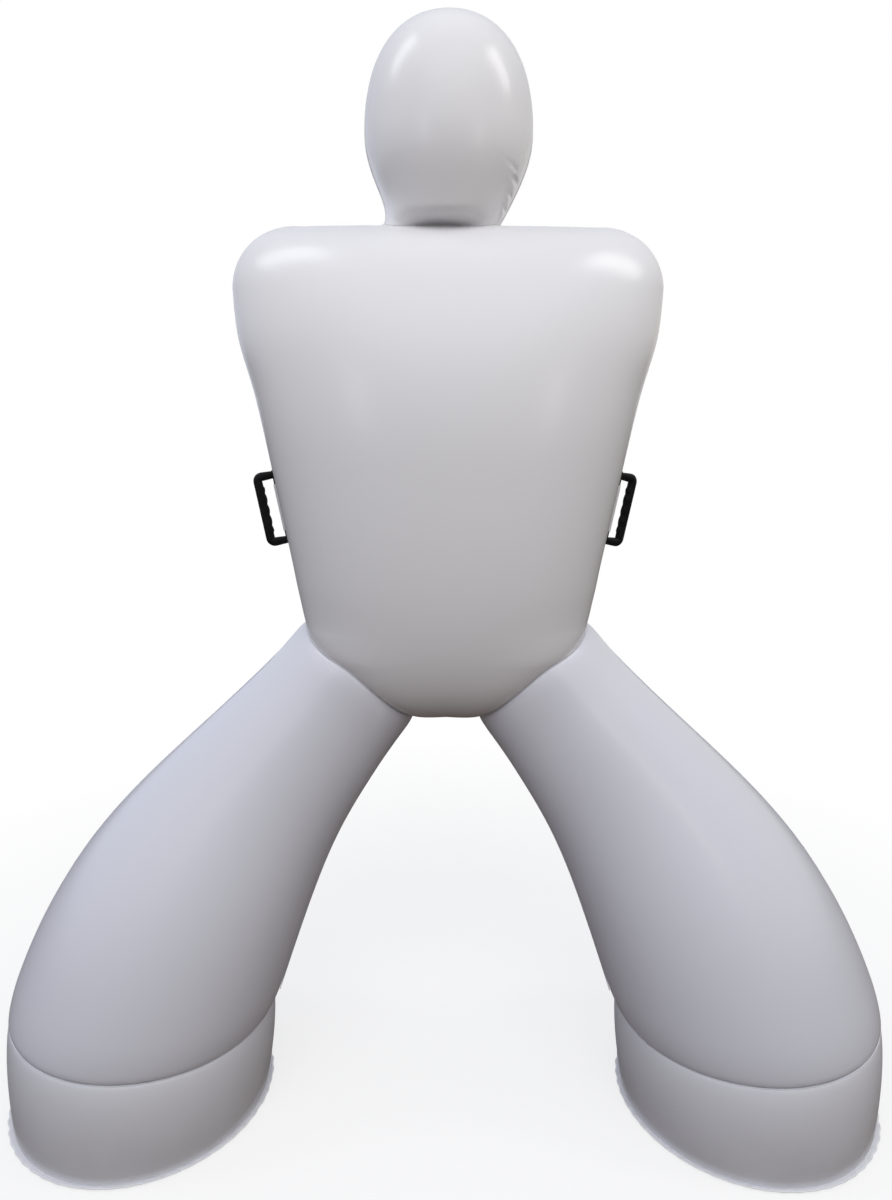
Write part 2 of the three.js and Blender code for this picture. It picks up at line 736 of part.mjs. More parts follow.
// The loop's path runs from the rod's top end out, down the grip and back to the rod's bottom end.
const gripReach = handleReach - gripHalfWidth;
const armHeight = handleLength / 2 - gripHalfWidth;
const loopPath = new THREE.CurvePath();
const pathPoint = (x, z) => new THREE.Vector2(x, z);
const bend = gripReach - handleCornerRadius;
loopPath.add(new THREE.LineCurve(pathPoint(0, armHeight), pathPoint(bend, armHeight)));
loopPath.add(
  new THREE.EllipseCurve(
    bend,
    armHeight - handleCornerRadius,
    handleCornerRadius,
    handleCornerRadius,
    Math.PI / 2,
    0,
    true,
  ),
);
loopPath.add(
  new THREE.LineCurve(
    pathPoint(gripReach, armHeight - handleCornerRadius),
    pathPoint(gripReach, handleCornerRadius - armHeight),
  ),
);
loopPath.add(
  new THREE.EllipseCurve(
    bend,
    handleCornerRadius - armHeight,
    handleCornerRadius,
    handleCornerRadius,
    0,
    -Math.PI / 2,
    true,
  ),
);
loopPath.add(new THREE.LineCurve(pathPoint(bend, -armHeight), pathPoint(0, -armHeight)));

// A bar of rounded section along the path, thinner at the rod and rippled inside for four fingers.
function loopBar() {
  const stations = [];
  const addRun = (curve, steps, from = 0) => {
    for (let k = from; k <= steps; k++) {
      const share = k / steps;
      stations.push({ point: curve.getPoint(share), tangent: curve.getTangent(share) });
    }
  };
  const steps = [2, 5, 6 * fingerCount, 5, 2];
  loopPath.curves.forEach((curve, index) => addRun(curve, steps[index], index === 0 ? 0 : 1));
  const rings = stations.map(({ point, tangent }) => {
    const outward = new THREE.Vector2(-tangent.y, tangent.x);
    const full = THREE.MathUtils.smoothstep(point.x, 0, bend);
    const halfWidth = lerp(armEndHalfWidth, gripHalfWidth, full);
    const halfDepth = lerp(armEndHalfDepth, gripHalfDepth, full);
    const fingers = Math.abs(point.y) < (fingerCount * fingerPitch) / 2 && point.x > bend;
    const ripple = fingers ? fingerDepth * Math.abs(Math.cos((Math.PI * point.y) / fingerPitch)) : 0;
    const ring = [];
    for (let k = 0; k < gripSides; k++) {
      const angle = (2 * Math.PI * (k + 0.5)) / gripSides;
      const inside = Math.cos(angle) < 0 ? ripple * -Math.cos(angle) : 0;
      const squared = (value) => Math.sign(value) * Math.pow(Math.abs(value), 0.7);
      const reach = squared(Math.cos(angle)) * halfWidth - inside;
      const depth = squared(Math.sin(angle)) * halfDepth;
      ring.push(new THREE.Vector3(point.x + outward.x * reach, depth, point.y + outward.y * reach));
    }
    return ring;
  });
  const faces = [];
  const last = rings.length - 1;
  for (let i = 0; i < last; i++) {
    for (let k = 0; k < gripSides; k++) {
      const next = (k + 1) % gripSides;
      const a = i * gripSides + k;
      const b = i * gripSides + next;
      faces.push(a, b + gripSides, b, a, a + gripSides, b + gripSides);
    }
  }
  for (let k = 1; k < gripSides - 1; k++) {
    faces.push(0, k, k + 1);
    faces.push(last * gripSides, last * gripSides + k + 1, last * gripSides + k);
  }
  const geometry = new THREE.BufferGeometry().setFromPoints(rings.flat());
  geometry.setIndex(faces);
  return geometry;
}

const alongZ = (radius, length, z) => {
  const pin = new THREE.CylinderGeometry(radius, radius, length, turnedSides);
  return pin.rotateX(Math.PI / 2).translate(0, 0, z);
};
const handleGeometry = joined(
  loopBar(),
  alongZ(handleRodRadius, 2 * armHeight, 0),
  alongZ(handleLobeRadius, handleLobeLength, armHeight),
  alongZ(handleLobeRadius, handleLobeLength, -armHeight),
);

// The sleeve lies flat on the patch beside the rod and passes over it.
function sleeveGeometry() {
  const over = handleRodRadius + weldGap;
  const outside = over + sleeveThickness;
  const base = weldGap - over;
  const outline = new THREE.Shape();
  outline.moveTo(-sleevePad, base);
  outline.lineTo(-over, base);
  outline.lineTo(-over, 0);
  outline.absarc(0, 0, over, Math.PI, 0, true);
  outline.lineTo(over, base);
  outline.lineTo(sleevePad, base);
  outline.lineTo(sleevePad, base + sleeveThickness);
  outline.lineTo(outside, base + sleeveThickness);
  outline.lineTo(outside, 0);
  outline.absarc(0, 0, outside, 0, Math.PI, false);
  outline.lineTo(-outside, base + sleeveThickness);
  outline.lineTo(-sleevePad, base + sleeveThickness);
  outline.closePath();
  const strip = new THREE.ExtrudeGeometry(outline, {
    depth: sleeveLength,
    bevelEnabled: false,
    curveSegments: gripSides,
  });
  strip.translate(0, 0, -sleeveLength / 2);
  return strip.rotateZ(-Math.PI / 2);
}

// The patch follows the torso's side round the seam.
const patchGrid = [];
const patchRows = 4;
const patchColumns = 8;
for (let i = 0; i <= patchRows; i++) {
  const height = handleHeight + patchLength * (0.5 - i / patchRows) * Math.cos(sideLean);
  const row = [];
  for (let j = 0; j <= patchColumns; j++) {
    const y = handleSetback + patchWidth * (0.5 - j / patchColumns);
    row.push(new THREE.Vector3(torsoSideAt(y, height) + patchFace / Math.cos(sideLean), y, height));
  }
  patchGrid.push(row);
}

// The rod's axis keeps one gap from the patch's highest point, and the lobes keep it from the torso.
const outwardOf = (x, z) => x * Math.cos(sideLean) - z * Math.sin(sideLean);
const lobeSeat = (z) => outwardOf(torsoSideAt(handleSetback, z), z) + handleLobeRadius;
const patchSeats = patchGrid.flat().map((p) => outwardOf(p.x, p.z) + handleRodRadius);
const lobeSeats = [handleHeight + armHeight, handleHeight - armHeight].map(lobeSeat);
const axisOutward = Math.max(...patchSeats, ...lobeSeats) + weldGap;
const axisX = (axisOutward + handleHeight * Math.sin(sideLean)) / Math.cos(sideLean);

for (const [side, sign, swing] of [['left', -1, 0], ['right', 1, rightHandleSwing]]) {
  const patch = filmSheet(sign > 0 ? patchGrid : mirrorX(patchGrid), { thickness: patchThickness });
  addMesh(root, `${side}_handle_patch`, patch, film);

  const outward = new THREE.Vector3(sign * Math.cos(sideLean), 0, -Math.sin(sideLean));
  const upward = new THREE.Vector3(sign * Math.sin(sideLean), 0, Math.cos(sideLean));
  const across = upward.clone().cross(outward);
  const mount = new THREE.Group();
  mount.applyMatrix4(new THREE.Matrix4().makeBasis(outward, across, upward));
  mount.position.set(sign * axisX, handleSetback, handleHeight);
  root.add(mount);
  addMesh(mount, `${side}_handle_sleeve`, sleeveGeometry(), film);
  const handle = addMesh(mount, `${side}_handle`, handleGeometry, moulded);
  handle.rotation.z = radians(swing);
}

export default root;
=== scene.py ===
import math
from functools import partial

import bpy
import numpy as np
from mathutils import Matrix, Vector


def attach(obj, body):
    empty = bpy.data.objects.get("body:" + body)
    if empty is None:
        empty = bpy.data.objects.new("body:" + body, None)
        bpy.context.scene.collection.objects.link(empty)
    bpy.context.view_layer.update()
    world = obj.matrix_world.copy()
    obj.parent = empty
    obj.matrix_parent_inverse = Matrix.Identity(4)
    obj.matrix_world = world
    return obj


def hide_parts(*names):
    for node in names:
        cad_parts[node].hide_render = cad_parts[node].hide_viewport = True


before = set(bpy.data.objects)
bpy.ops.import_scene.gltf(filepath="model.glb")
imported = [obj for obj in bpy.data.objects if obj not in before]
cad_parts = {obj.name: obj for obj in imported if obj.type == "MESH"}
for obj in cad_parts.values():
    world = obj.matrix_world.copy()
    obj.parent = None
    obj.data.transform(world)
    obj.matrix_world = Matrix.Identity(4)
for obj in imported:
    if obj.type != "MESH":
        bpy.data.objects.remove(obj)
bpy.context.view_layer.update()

# The camera is a hand-held phone with a wide lens. It stands 1.43 m in front of the dummy and 1.19 m
# up, looks 10.3 degrees down, and is rolled by a quarter of a degree.
def linked(name, data):
    """A new object of the scene that shows a mesh, a lamp or a camera."""
    shown = bpy.data.objects.new(name, data)
    bpy.context.scene.collection.objects.link(shown)
    return shown


focal_pixels, picture_pixels = 860, 1200
camera_lens = bpy.data.cameras.new("camera")
camera_lens.sensor_width = 36
camera_lens.lens = camera_lens.sensor_width * focal_pixels / picture_pixels
camera = linked("camera", camera_lens)
camera.matrix_world = (
    Matrix.Translation((-0.001, -1.430, 1.187))
    @ Matrix.Rotation(math.radians(90 - 10.3), 4, "X")
    @ Matrix.Rotation(math.radians(0.25), 4, "Z")
)
bpy.context.scene.camera = camera
bpy.context.scene.view_settings.view_transform = "Standard"


# The floor is a smooth pale studio floor that runs on into a white backdrop. It shows white away from
# the dummy and keeps the dummy's soft shadow near it.
def smooth_mesh(name, points, faces):
    mesh = bpy.data.meshes.new(name)
    mesh.from_pydata([tuple(p) for p in points], [], [tuple(int(k) for k in f) for f in faces])
    mesh.polygons.foreach_set("use_smooth", [True] * len(mesh.polygons))
    mesh.update()
    return mesh


def add_piece(name, points, faces, material):
    mesh = smooth_mesh(name, points, faces)
    mesh.materials.append(material)
    return linked(name, mesh)


def start_material(name):
    material = bpy.data.materials.new(name)
    material.use_nodes = True
    nodes = material.node_tree.nodes
    return material, material.node_tree, nodes["Principled BSDF"], nodes["Material Output"]


def feed(tree, node, flows):
    """Sets a node's sockets. A node among the values stands for its first output."""
    for socket, value in flows.items():
        if isinstance(value, bpy.types.Node):
            value = value.outputs[0]
        if isinstance(value, bpy.types.NodeSocket):
            tree.links.new(value, node.inputs[socket])
        else:
            node.inputs[socket].default_value = value


def step(tree, kind, flows=None, **settings):
    """One new node of a tree, with its settings and what flows into its sockets."""
    node = tree.nodes.new(kind)
    for title, value in settings.items():
        setattr(node, title, value)
    feed(tree, node, flows or {})
    return node


def maths(tree, operation, *values):
    """One sum of a tree. The name of a sum of vectors starts with VECTOR_."""
    kind = "ShaderNodeVectorMath" if operation.startswith("VECTOR_") else "ShaderNodeMath"
    operation = operation.removeprefix("VECTOR_")
    flows = dict(enumerate(values))
    if operation == "SCALE":
        flows["Scale"] = flows.pop(1)
    node = step(tree, kind, flows, operation=operation)
    return node.outputs["Value"] if operation == "LENGTH" else node.outputs[0]


def spread(tree, value, low, high, start=0.3, end=0.7, curve="LINEAR"):
    """A value between start and end, mapped on to low and high."""
    flows = {"Value": value, "From Min": start, "From Max": end, "To Min": low, "To Max": high}
    return step(tree, "ShaderNodeMapRange", flows, interpolation_type=curve).outputs["Result"]


def split(tree, vector):
    return step(tree, "ShaderNodeSeparateXYZ", {0: vector}).outputs


def blend(tree, factor, first, second):
    """A colour between two others."""
    flows = {"Factor": factor, "A": first, "B": second}
    for title in ("A", "B"):
        if isinstance(flows[title], tuple):
            flows[title] = (*flows[title], 1)
    return step(tree, "ShaderNodeMix", flows, data_type="RGBA").outputs["Result"]


studio, tree, paint, output = start_material("studio_floor")
feed(tree, paint, {"Base Color": (0.100, 0.067, 0.043, 1), "Roughness": 0.9})
glow = step(tree, "ShaderNodeEmission")
pale = step(tree, "ShaderNodeBsdfDiffuse", {"Color": (0.95, 0.95, 0.95, 1)})
far = maths(tree, "VECTOR_LENGTH", step(tree, "ShaderNodeTexCoord").outputs["Object"])
whiteness = spread(tree, far, 0.72, 1.0, 0.8, 1.9)
shown = step(tree, "ShaderNodeMixShader", {0: whiteness, 1: pale, 2: glow})
seen = step(tree, "ShaderNodeLightPath").outputs["Is Camera Ray"]
chosen = step(tree, "ShaderNodeMixShader", {0: seen, 1: paint, 2: shown})
feed(tree, output, {"Surface": chosen})
floor_reach = 30
corners = [(x * floor_reach, y * floor_reach, 0) for x, y in ((-1, -1), (1, -1), (1, 1), (-1, 1))]
floor = add_piece("studio_floor", corners, [(0, 1, 2, 3)], studio)

# The light is a plain hall's: a pale room that is darker overhead, two strip lights that make the
# bright patches on the head and shoulders, and a wide soft light and two far windows in front.
world = bpy.data.worlds.new("studio")
bpy.context.scene.world = world
world.use_nodes = True
room = world.node_tree
toward = step(room, "ShaderNodeTexCoord").outputs["Generated"]
rightward, backward, upward = split(room, toward)
walls = blend(room, spread(room, rightward, 0, 1, -0.7, 0.7), (0.97, 1.02, 1.17), (0.98, 0.95, 0.90))
sky = blend(room, spread(room, upward, 0, 1, 0.1, 0.8), walls, (0.49, 0.52, 0.59))
low_band = spread(room, backward, 0.20, 0.92, -0.95, 0.0)
strengths = {"Factor": spread(room, upward, 0, 1, 0.0, 0.45), "A": low_band, "B": 0.86}
strength = step(room, "ShaderNodeMix", strengths).outputs["Result"]
backing = room.nodes["Background"]
feed(room, backing, {"Color": sky, "Strength": strength})
white = step(room, "ShaderNodeBackground", {"Color": (1, 1, 1, 1)})
seen = step(room, "ShaderNodeLightPath").outputs["Is Camera Ray"]
either = step(room, "ShaderNodeMixShader", {0: seen, 1: backing, 2: white})
feed(room, room.nodes["World Output"], {"Surface": either})

for name, place, target, width, height, power, colour in (
    ("left_strip", (-1.22, -0.25, 2.9), (-1.0, -0.25, 0), 0.40, 1.1, 5.2, (0.95, 0.97, 1.0)),
    ("right_strip", (1.36, -0.35, 2.7), (1.14, -0.35, 0), 0.42, 1.1, 6.4, (1.0, 0.985, 0.96)),
    ("front_fill", (0, -2.6, 3.5), (0, 0, 1.1), 3.4, 2.0, 61, (1.0, 0.985, 0.97)),
    ("left_window", (-2.7, -4.7, 2.3), (0, 0, 1.3), 0.8, 1.3, 7, (0.93, 0.96, 1.0)),
    ("right_window", (3.2, -4.2, 2.1), (0, 0, 1.3), 0.7, 1.2, 6, (1.0, 0.98, 0.95)),
):
    light = bpy.data.lights.new(name, "AREA")
    light.shape, light.size, light.size_y = "RECTANGLE", width, height
    light.energy, light.color = power, colour
    lamp = linked(name, light)
    aim = (Vector(target) - Vector(place)).to_track_quat("-Z", "Y")
    lamp.matrix_world = Matrix.Translation(place) @ aim.to_matrix().to_4x4()
    lamp.visible_glossy = name != "front_fill"


# The torso is a pillow of two welded panels of white vinyl film, a front and a back one. Their edges
# meet in a side seam that runs over the shoulders, and the air inside rounds them.
def noise(tree, place, scale, detail):
    """Soft clouds on a piece, in values about 0.5."""
    flows = {"Vector": place, "Scale": scale, "Detail": detail}
    return step(tree, "ShaderNodeTexNoise", flows).outputs["Fac"]


def bump(tree, height, strength, distance, under=None):
    flows = {"Height": height, "Strength": strength, "Distance": distance}
    if under:
        flows["Normal"] = under
    return step(tree, "ShaderNodeBump", flows).outputs["Normal"]


mark_reach = 0.02
rib_pitch = 0.0022
dirt_and_shade_colour = (0.36, 0.34, 0.33)


def film_material(name, colour, roughness, grain=1.0, floor_dirt_and_shade=0.0):
    """Satin vinyl film: faint clouds, a fine grain, a grey towards the floor that is partly dirt and
    partly painted shade, and ribs and a paler painted sheen along its welds.
    """
    material, tree, film, _ = start_material(name)
    place = step(tree, "ShaderNodeTexCoord").outputs["Object"]

    def attribute(title):
        return step(tree, "ShaderNodeAttribute", attribute_name=title).outputs["Fac"]

    def tinted(share):
        return tuple(min(1, c * share) for c in colour)

    band = spread(tree, attribute("near_weld"), 0, 1, 0.0150, 0.0165)
    pale = blend(tree, noise(tree, place, 2.3, 0), tinted(0.985), tinted(1.01))
    # Along the welds the colour is paler: a painted sheen. The lower roughness there is the weld's own
    # gloss.
    welded = blend(tree, maths(tree, "MULTIPLY", band, 0.35), pale, tinted(1.12))
    # Towards the floor the film greys: partly dirt, partly painted shade from the floor below.
    low = spread(tree, split(tree, place)["Z"], floor_dirt_and_shade, 0, 0.0, 0.16)
    dirt_and_shade = maths(tree, "MULTIPLY", low, spread(tree, noise(tree, place, 9, 4), 0.3, 1))
    gloss = spread(tree, noise(tree, place, 4.5, 0), roughness * 0.92, roughness * 1.08, 0.0, 1.0)
    run = maths(tree, "MULTIPLY", attribute("weld_run"), 2 * math.pi / rib_pitch)
    ribs = maths(tree, "MULTIPLY", maths(tree, "SINE", run), band)
    soft = bump(tree, noise(tree, place, 5, 0), 0.10, 0.004)
    skin = bump(tree, noise(tree, place, 420, 2), 0.08 * grain, 0.0004, soft)
    flows = {
        "Base Color": blend(tree, dirt_and_shade, welded, dirt_and_shade_colour),
        "Roughness": maths(tree, "SUBTRACT", gloss, maths(tree, "MULTIPLY", band, 0.02)),
        "Coat Weight": 0.12,
        "Coat Roughness": 0.16,
        "Normal": bump(tree, ribs, 0.25, 0.0004, skin),
    }
    feed(tree, film, flows)
    return material


def sheet_normals(grid, closed=False):
    around = np.concatenate([grid, grid[:, :1]], 1) if closed else grid
    faces = np.cross(around[1:, 1:] - around[:-1, :-1], around[1:, :-1] - around[:-1, 1:])
    normal = np.zeros_like(around)
    for rows in (slice(0, -1), slice(1, None)):
        for columns in (slice(0, -1), slice(1, None)):
            normal[rows, columns] += faces
    if closed:
        normal[:, 0] += normal[:, -1]
        normal = normal[:, :-1]
    return normal / np.maximum(np.linalg.norm(normal, axis=2, keepdims=True), 1e-15)


def film_sheet(name, grid, material, welds=None, thickness=0.0005, closed=False, hole=None):
    """A sheet of film on a grid of points: its outer face, its inner face, and a rim along the edges
    that only one outer face has. A hole is a point and a radius."""
    rows, columns = grid.shape[:2]
    inner = grid - thickness * sheet_normals(grid, closed)
    points = np.concatenate([grid.reshape(-1, 3), inner.reshape(-1, 3)])
    half = rows * columns
    index = np.arange(half).reshape(rows, columns)
    if closed:
        index = np.concatenate([index, index[:, :1]], 1)
    a, b, c, d = index[:-1, :-1], index[:-1, 1:], index[1:, 1:], index[1:, :-1]
    kept = np.ones(a.shape, bool)
    if hole:
        centres = points[[a, b, c, d]].mean(0)
        kept = np.linalg.norm(centres - hole[0], axis=2) > hole[1]
    outer = np.stack([a, b, c, d], -1)[kept]
    sides = np.stack([outer, np.roll(outer, -1, 1)], -1).reshape(-1, 2)
    lone = ~np.isin(sides @ (half, 1), sides @ (1, half))
    first, second = sides[lone].T
    rim = np.stack([second, first, first + half, second + half], -1)
    faces = np.concatenate([outer, outer[:, [0, 3, 2, 1]] + half, rim])
    piece = add_piece(name, points, faces, material)
    if welds is not None:
        for title, values in zip(("near_weld", "weld_run"), welds):
            layer = piece.data.attributes.new(title, "FLOAT", "POINT")
            layer.data.foreach_set("value", np.tile(values.ravel(), 2).astype(np.float32))
    return piece


def mirrored(grid, axis):
    turned = grid[:, ::-1].copy()
    turned[..., axis] *= -1
    return turned


def wander(along, seed, pitch):
    """A smooth random line between -1 and 1 with about one bump to each pitch."""
    steps = np.asarray(along) / pitch + 40.0
    whole = np.floor(steps).astype(int)
    part = steps - whole
    values = np.random.default_rng(seed).uniform(-1, 1, 4096)
    ease = part * part * (3 - 2 * part)
    return values[whole % 4096] * (1 - ease) + values[(whole + 1) % 4096] * ease


def run_along(line):
    return np.concatenate([[0], np.cumsum(np.linalg.norm(np.diff(line, axis=0), axis=1))])


def from_edge(grid, edge):
    """How far each point of a panel is from one of its edges, and where along that edge it is."""
    level, flipped = edge in ("top", "bottom"), edge in ("last", "bottom")
    turned = grid.swapaxes(0, 1) if level else grid
    turned = turned[:, ::-1] if flipped else turned
    steps = np.linalg.norm(np.diff(turned, axis=1), axis=2)
    away = np.concatenate([np.zeros((turned.shape[0], 1)), np.cumsum(steps, axis=1)], 1)
    along = np.repeat(run_along(turned[:, 0])[:, None], turned.shape[1], 1)
    found = np.stack([away, along])
    found = found[..., ::-1] if flipped else found
    return found.swapaxes(1, 2) if level else found


def weld_marks(grid, edges):
    found = [from_edge(grid, edge) for edge in edges]
    away = np.stack([f[0] for f in found])
    nearest = away.argmin(0)[None]
    run = np.take_along_axis(np.stack([f[1] for f in found]), nearest, 0)[0]
    return np.maximum(0, mark_reach - away.min(0)), run


def pucker(grid, edge, height, reach, pitch, seed):
    """Small gathers that run away from one edge of a panel, as the tight weld leaves them."""
    away, along = from_edge(grid, edge)
    lean = along + 0.35 * away * wander(along, seed + 5, pitch * 4)
    ripple = 0.65 * wander(lean, seed, pitch) + 0.35 * wander(lean, seed + 1, pitch * 0.45)
    strength = 0.45 + 0.55 * wander(along, seed + 2, pitch * 3.3)
    fade = np.exp(-((away / reach) ** 1.5)) * (1 - np.exp(-away / (0.1 * reach)))
    return height * strength * ripple * fade


def side_gathers(grid, seed, reach, pitch, height=0.0006):
    first = pucker(grid, "first", height, reach, pitch, seed)
    return first + pucker(grid, "last", height, reach, pitch, seed + 10)


def swell(away, height, rise, reach):
    """A quick swell beside a weld, where the air pushes the film over it."""
    return height * (1 - np.exp(-away / rise)) * np.exp(-((away / reach) ** 2))


def unit(vectors):
    return vectors / np.linalg.norm(vectors, axis=-1, keepdims=True)


def raised(grid, *lifts):
    return grid + sum(lifts)[..., None] * sheet_normals(grid)


crotch_z = 0.735
hip_z = 0.893
fullest_z = 1.150
shoulder_z = 1.425
torso_top = 1.520
torso_depth = 0.172
torso_power = 2.25
upper_power = 2.2
lower_power = 2.9
shoulder_half_width = 0.3395
top_half_width = 0.243
seam_half_gap = 0.00015
hip_half_width = 0.236
side_knots = [(hip_half_width, hip_z), (0.278, 1.112), (0.307, 1.254), (0.3325, 1.350)]
side_knots = np.array([*side_knots, (shoulder_half_width, shoulder_z)])


def smooth_line(knots, steps=200):
    ends = np.vstack([knots[:1], knots, knots[-1:]])
    line = []
    for k in range(len(knots) - 1):
        a, b, c, d = ends[k : k + 4]
        t = np.linspace(0, 1, steps, endpoint=False)[:, None]
        v0, v1 = (c - a) / 2, (d - b) / 2
        cubic, square = 2 * b - 2 * c + v0 + v1, -3 * b + 3 * c - 2 * v0 - v1
        line.append(cubic * t**3 + square * t**2 + v0 * t + b)
    return np.vstack([*line, knots[-1:]])


side_line = smooth_line(side_knots)
hip_pinch = 0.0035
pinch_top = 0.965


def torso_half_width(z):
    pinch = np.clip((pinch_top - np.asarray(z)) / (pinch_top - hip_z), 0, 1)
    side = np.interp(z, side_line[:, 1], side_line[:, 0]) - hip_pinch * pinch**2 * (3 - 2 * pinch)
    share = np.clip((np.asarray(z) - shoulder_z) / (torso_top - shoulder_z), 0, 1)
    top = top_half_width + (shoulder_half_width - top_half_width) * np.sqrt(1 - share**2)
    return np.where(share > 0, top, side)


def torso_half_depth(z):
    rise = np.asarray(z) - fullest_z
    over = np.clip(rise / (torso_top - fullest_z), 0, 1)
    under = np.clip(-rise / (fullest_z - crotch_z), 0, 1)
    upper = (1 - over**upper_power) ** (1 / upper_power)
    lower = (1 - under**lower_power) ** (1 / lower_power)
    return torso_depth * np.where(rise > 0, upper, lower)


hip_outer = np.array([hip_half_width - hip_pinch, hip_z])
hip_inner = np.array([0.054, crotch_z])
hip_middle = (hip_outer + hip_inner) / 2
hip_reach = (hip_outer - hip_inner) / 2
hip_ring_depth = 0.105
hip_lifts = (0, -0.010, -0.010, -0.004, 0.006, 0.006, 0.002, 0, -0.001, 0)
hip_lift_line = smooth_line(np.stack([np.linspace(0, 180, len(hip_lifts)), hip_lifts], -1), 20)


def hip_lift(angle):
    """The ring sags beside the outer hip and rises at its front and back."""
    turned = np.degrees(np.minimum(angle, 2 * math.pi - angle))
    return np.interp(turned, hip_lift_line[:, 0], hip_lift_line[:, 1])


def hip_ring(angle):
    angle = np.asarray(angle)
    x = hip_middle[0] + hip_reach[0] * np.cos(angle)
    z = hip_middle[1] + hip_reach[1] * np.cos(angle) + hip_lift(angle)
    return np.stack([x, hip_ring_depth * np.sin(angle), z], -1)


torso_columns = 150


def torso_row(z, half_width, half_depth, end_depth=0.0):
    share = min(end_depth / half_depth, 0.98) if half_depth > 0 else 0
    full_width = half_width / (1 - share**torso_power) ** (1 / torso_power)
    start = math.acos(min(1, (half_width / full_width) ** (torso_power / 2)))
    angle = np.linspace(start, math.pi - start, torso_columns)
    across = np.cos(angle)
    x = full_width * np.sign(across) * np.abs(across) ** (2 / torso_power)
    y = half_depth * np.abs(np.sin(angle)) ** (2 / torso_power)
    x[0], x[-1], y[0], y[-1] = half_width, -half_width, end_depth, end_depth
    return np.stack([x, -y - seam_half_gap, np.full(torso_columns, z)], -1)


torso_rows = [torso_row(torso_top, top_half_width, 0.0)]
rises = np.sin(np.linspace(math.pi / 2, 0, 70, endpoint=False)[1:]) ** (2 / upper_power)
upper_z = fullest_z + (torso_top - fullest_z) * rises
for z in (*upper_z, *np.linspace(fullest_z, hip_z, 40, endpoint=False)):
    torso_rows.append(torso_row(z, float(torso_half_width(z)), float(torso_half_depth(z))))
hip_row = len(torso_rows)
for angle in np.linspace(0, math.pi, 60, endpoint=False):
    x, y, z = hip_ring(angle)
    torso_rows.append(torso_row(z, x, float(torso_half_depth(z)), y))
torso_rows.append(torso_row(crotch_z, hip_inner[0], 0.0))
torso_grid = np.array(torso_rows)


def from_hip(grid):
    """How far each point is from the nearer hip's weld."""
    ring = hip_ring(np.linspace(0, 2 * math.pi, 180, endpoint=False))
    folded = np.abs(grid[..., :1]) * (1, 0, 0) + grid * (0, 1, 1)
    return np.sqrt(((folded[..., None, :] - ring) ** 2).sum(-1).min(-1))


handle_z = 1.082
handle_setback = 0.008
patch_half_height = 0.046


def torso_panel(grid, seed):
    from_handle = (grid[..., 2] - handle_z) / (patch_half_height + 0.03)
    off_patch = 1 - np.exp(-(from_handle**8))
    return raised(
        grid,
        off_patch * side_gathers(grid, seed, 0.035, 0.024),
        pucker(grid, "top", 0.0008, 0.04, 0.030, seed + 20),
        swell(from_hip(grid), 0.0045, 0.009, 0.055),
    )


film = film_material("white_vinyl_film", (0.775, 0.77, 0.785), 0.245)
valve_place = Vector((0, 0.170986, 1.0))
valve_hole_radius = 0.022
for part, grid, seed in (("front", torso_grid, 3), ("back", mirrored(torso_grid, 1), 43)):
    hole = (np.array(valve_place), valve_hole_radius) if part == "back" else None
    marks = weld_marks(grid, ("first", "last", "top"))
    torso = film_sheet(f"torso_{part}_film", torso_panel(grid, seed), film, marks, hole=hole)
    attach(torso, "shell")
    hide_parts(f"torso_{part}_panel")

# The head is an egg of two film panels on a flatter neck. The neck is welded to the rounded top of
# the torso, and its front and back are tucked under just above the weld.
widest_rise = 0.134
crown_rise = 0.301
head_z = torso_top + widest_rise
head_half_width = 0.1285
head_power = 2.3
crown_half_width = 0.012


def torso_top_at(x, y):
    low = np.full(np.shape(x), fullest_z)
    high = np.full(np.shape(x), torso_top)
    for _ in range(40):
        middle = (low + high) / 2
        depth = np.maximum(torso_half_depth(middle), 1e-9)
        across, through = np.abs(x) / torso_half_width(middle), np.abs(y) / depth
        inside = across**torso_power + through**torso_power < 1
        low, high = np.where(inside, middle, low), np.where(inside, high, middle)
    return low


neck_shift = 0.0125
neck_half_width = 0.090
neck_half_depth = 0.038
tuck_start = 0.76
tuck_depth = 0.47


def head_row(half_width, z, share, columns=130):
    """A row of the head. The share runs from 0 at its widest to 1 at the neck's weld."""
    seamed = math.sqrt(max(0, half_width**2 - crown_half_width**2))
    angle = np.linspace(0, math.pi, columns)
    tuck = max(0, (share - tuck_start) / (1 - tuck_start))
    tucked = tuck_depth * tuck**3 * (4 - 3 * tuck) * np.sin(angle) ** 3
    depth = (0.88 + 0.48 * share**2 * (1 - share) - 0.08 * share**3) * (1 - tucked)
    x, y = half_width * np.cos(angle), depth * seamed * np.sin(angle)
    drop = torso_top_at(x, y) + 0.0003 - torso_top
    return np.stack([x - neck_shift * share**6, -y - seam_half_gap, z + drop * share**5], -1)


def bezier(points, count):
    t = np.linspace(0, 1, count)[:, None]
    a, b, c, d = np.array(points)
    return a * (1 - t) ** 3 + 3 * b * t * (1 - t) ** 2 + 3 * c * t**2 * (1 - t) + d * t**3


head_rows = []
for angle in np.linspace(math.pi / 2, 0, 70, endpoint=False):
    width = head_half_width * max(math.cos(angle), 0) ** (2 / head_power)
    z = head_z + (crown_rise - widest_rise) * math.sin(angle) ** (2 / head_power)
    head_rows.append(head_row(max(crown_half_width, width), z, 0))
cheek_count = 90
cheek_knots = [
    (head_half_width, head_z),
    (head_half_width, head_z - 0.058),
    (neck_half_width + 0.0005, torso_top + 0.036),
    (neck_half_width, torso_top),
]
for k, (width, z) in enumerate(bezier(cheek_knots, cheek_count)):
    head_rows.append(head_row(width, z, k / (cheek_count - 1)))
head_grid = np.array(head_rows)


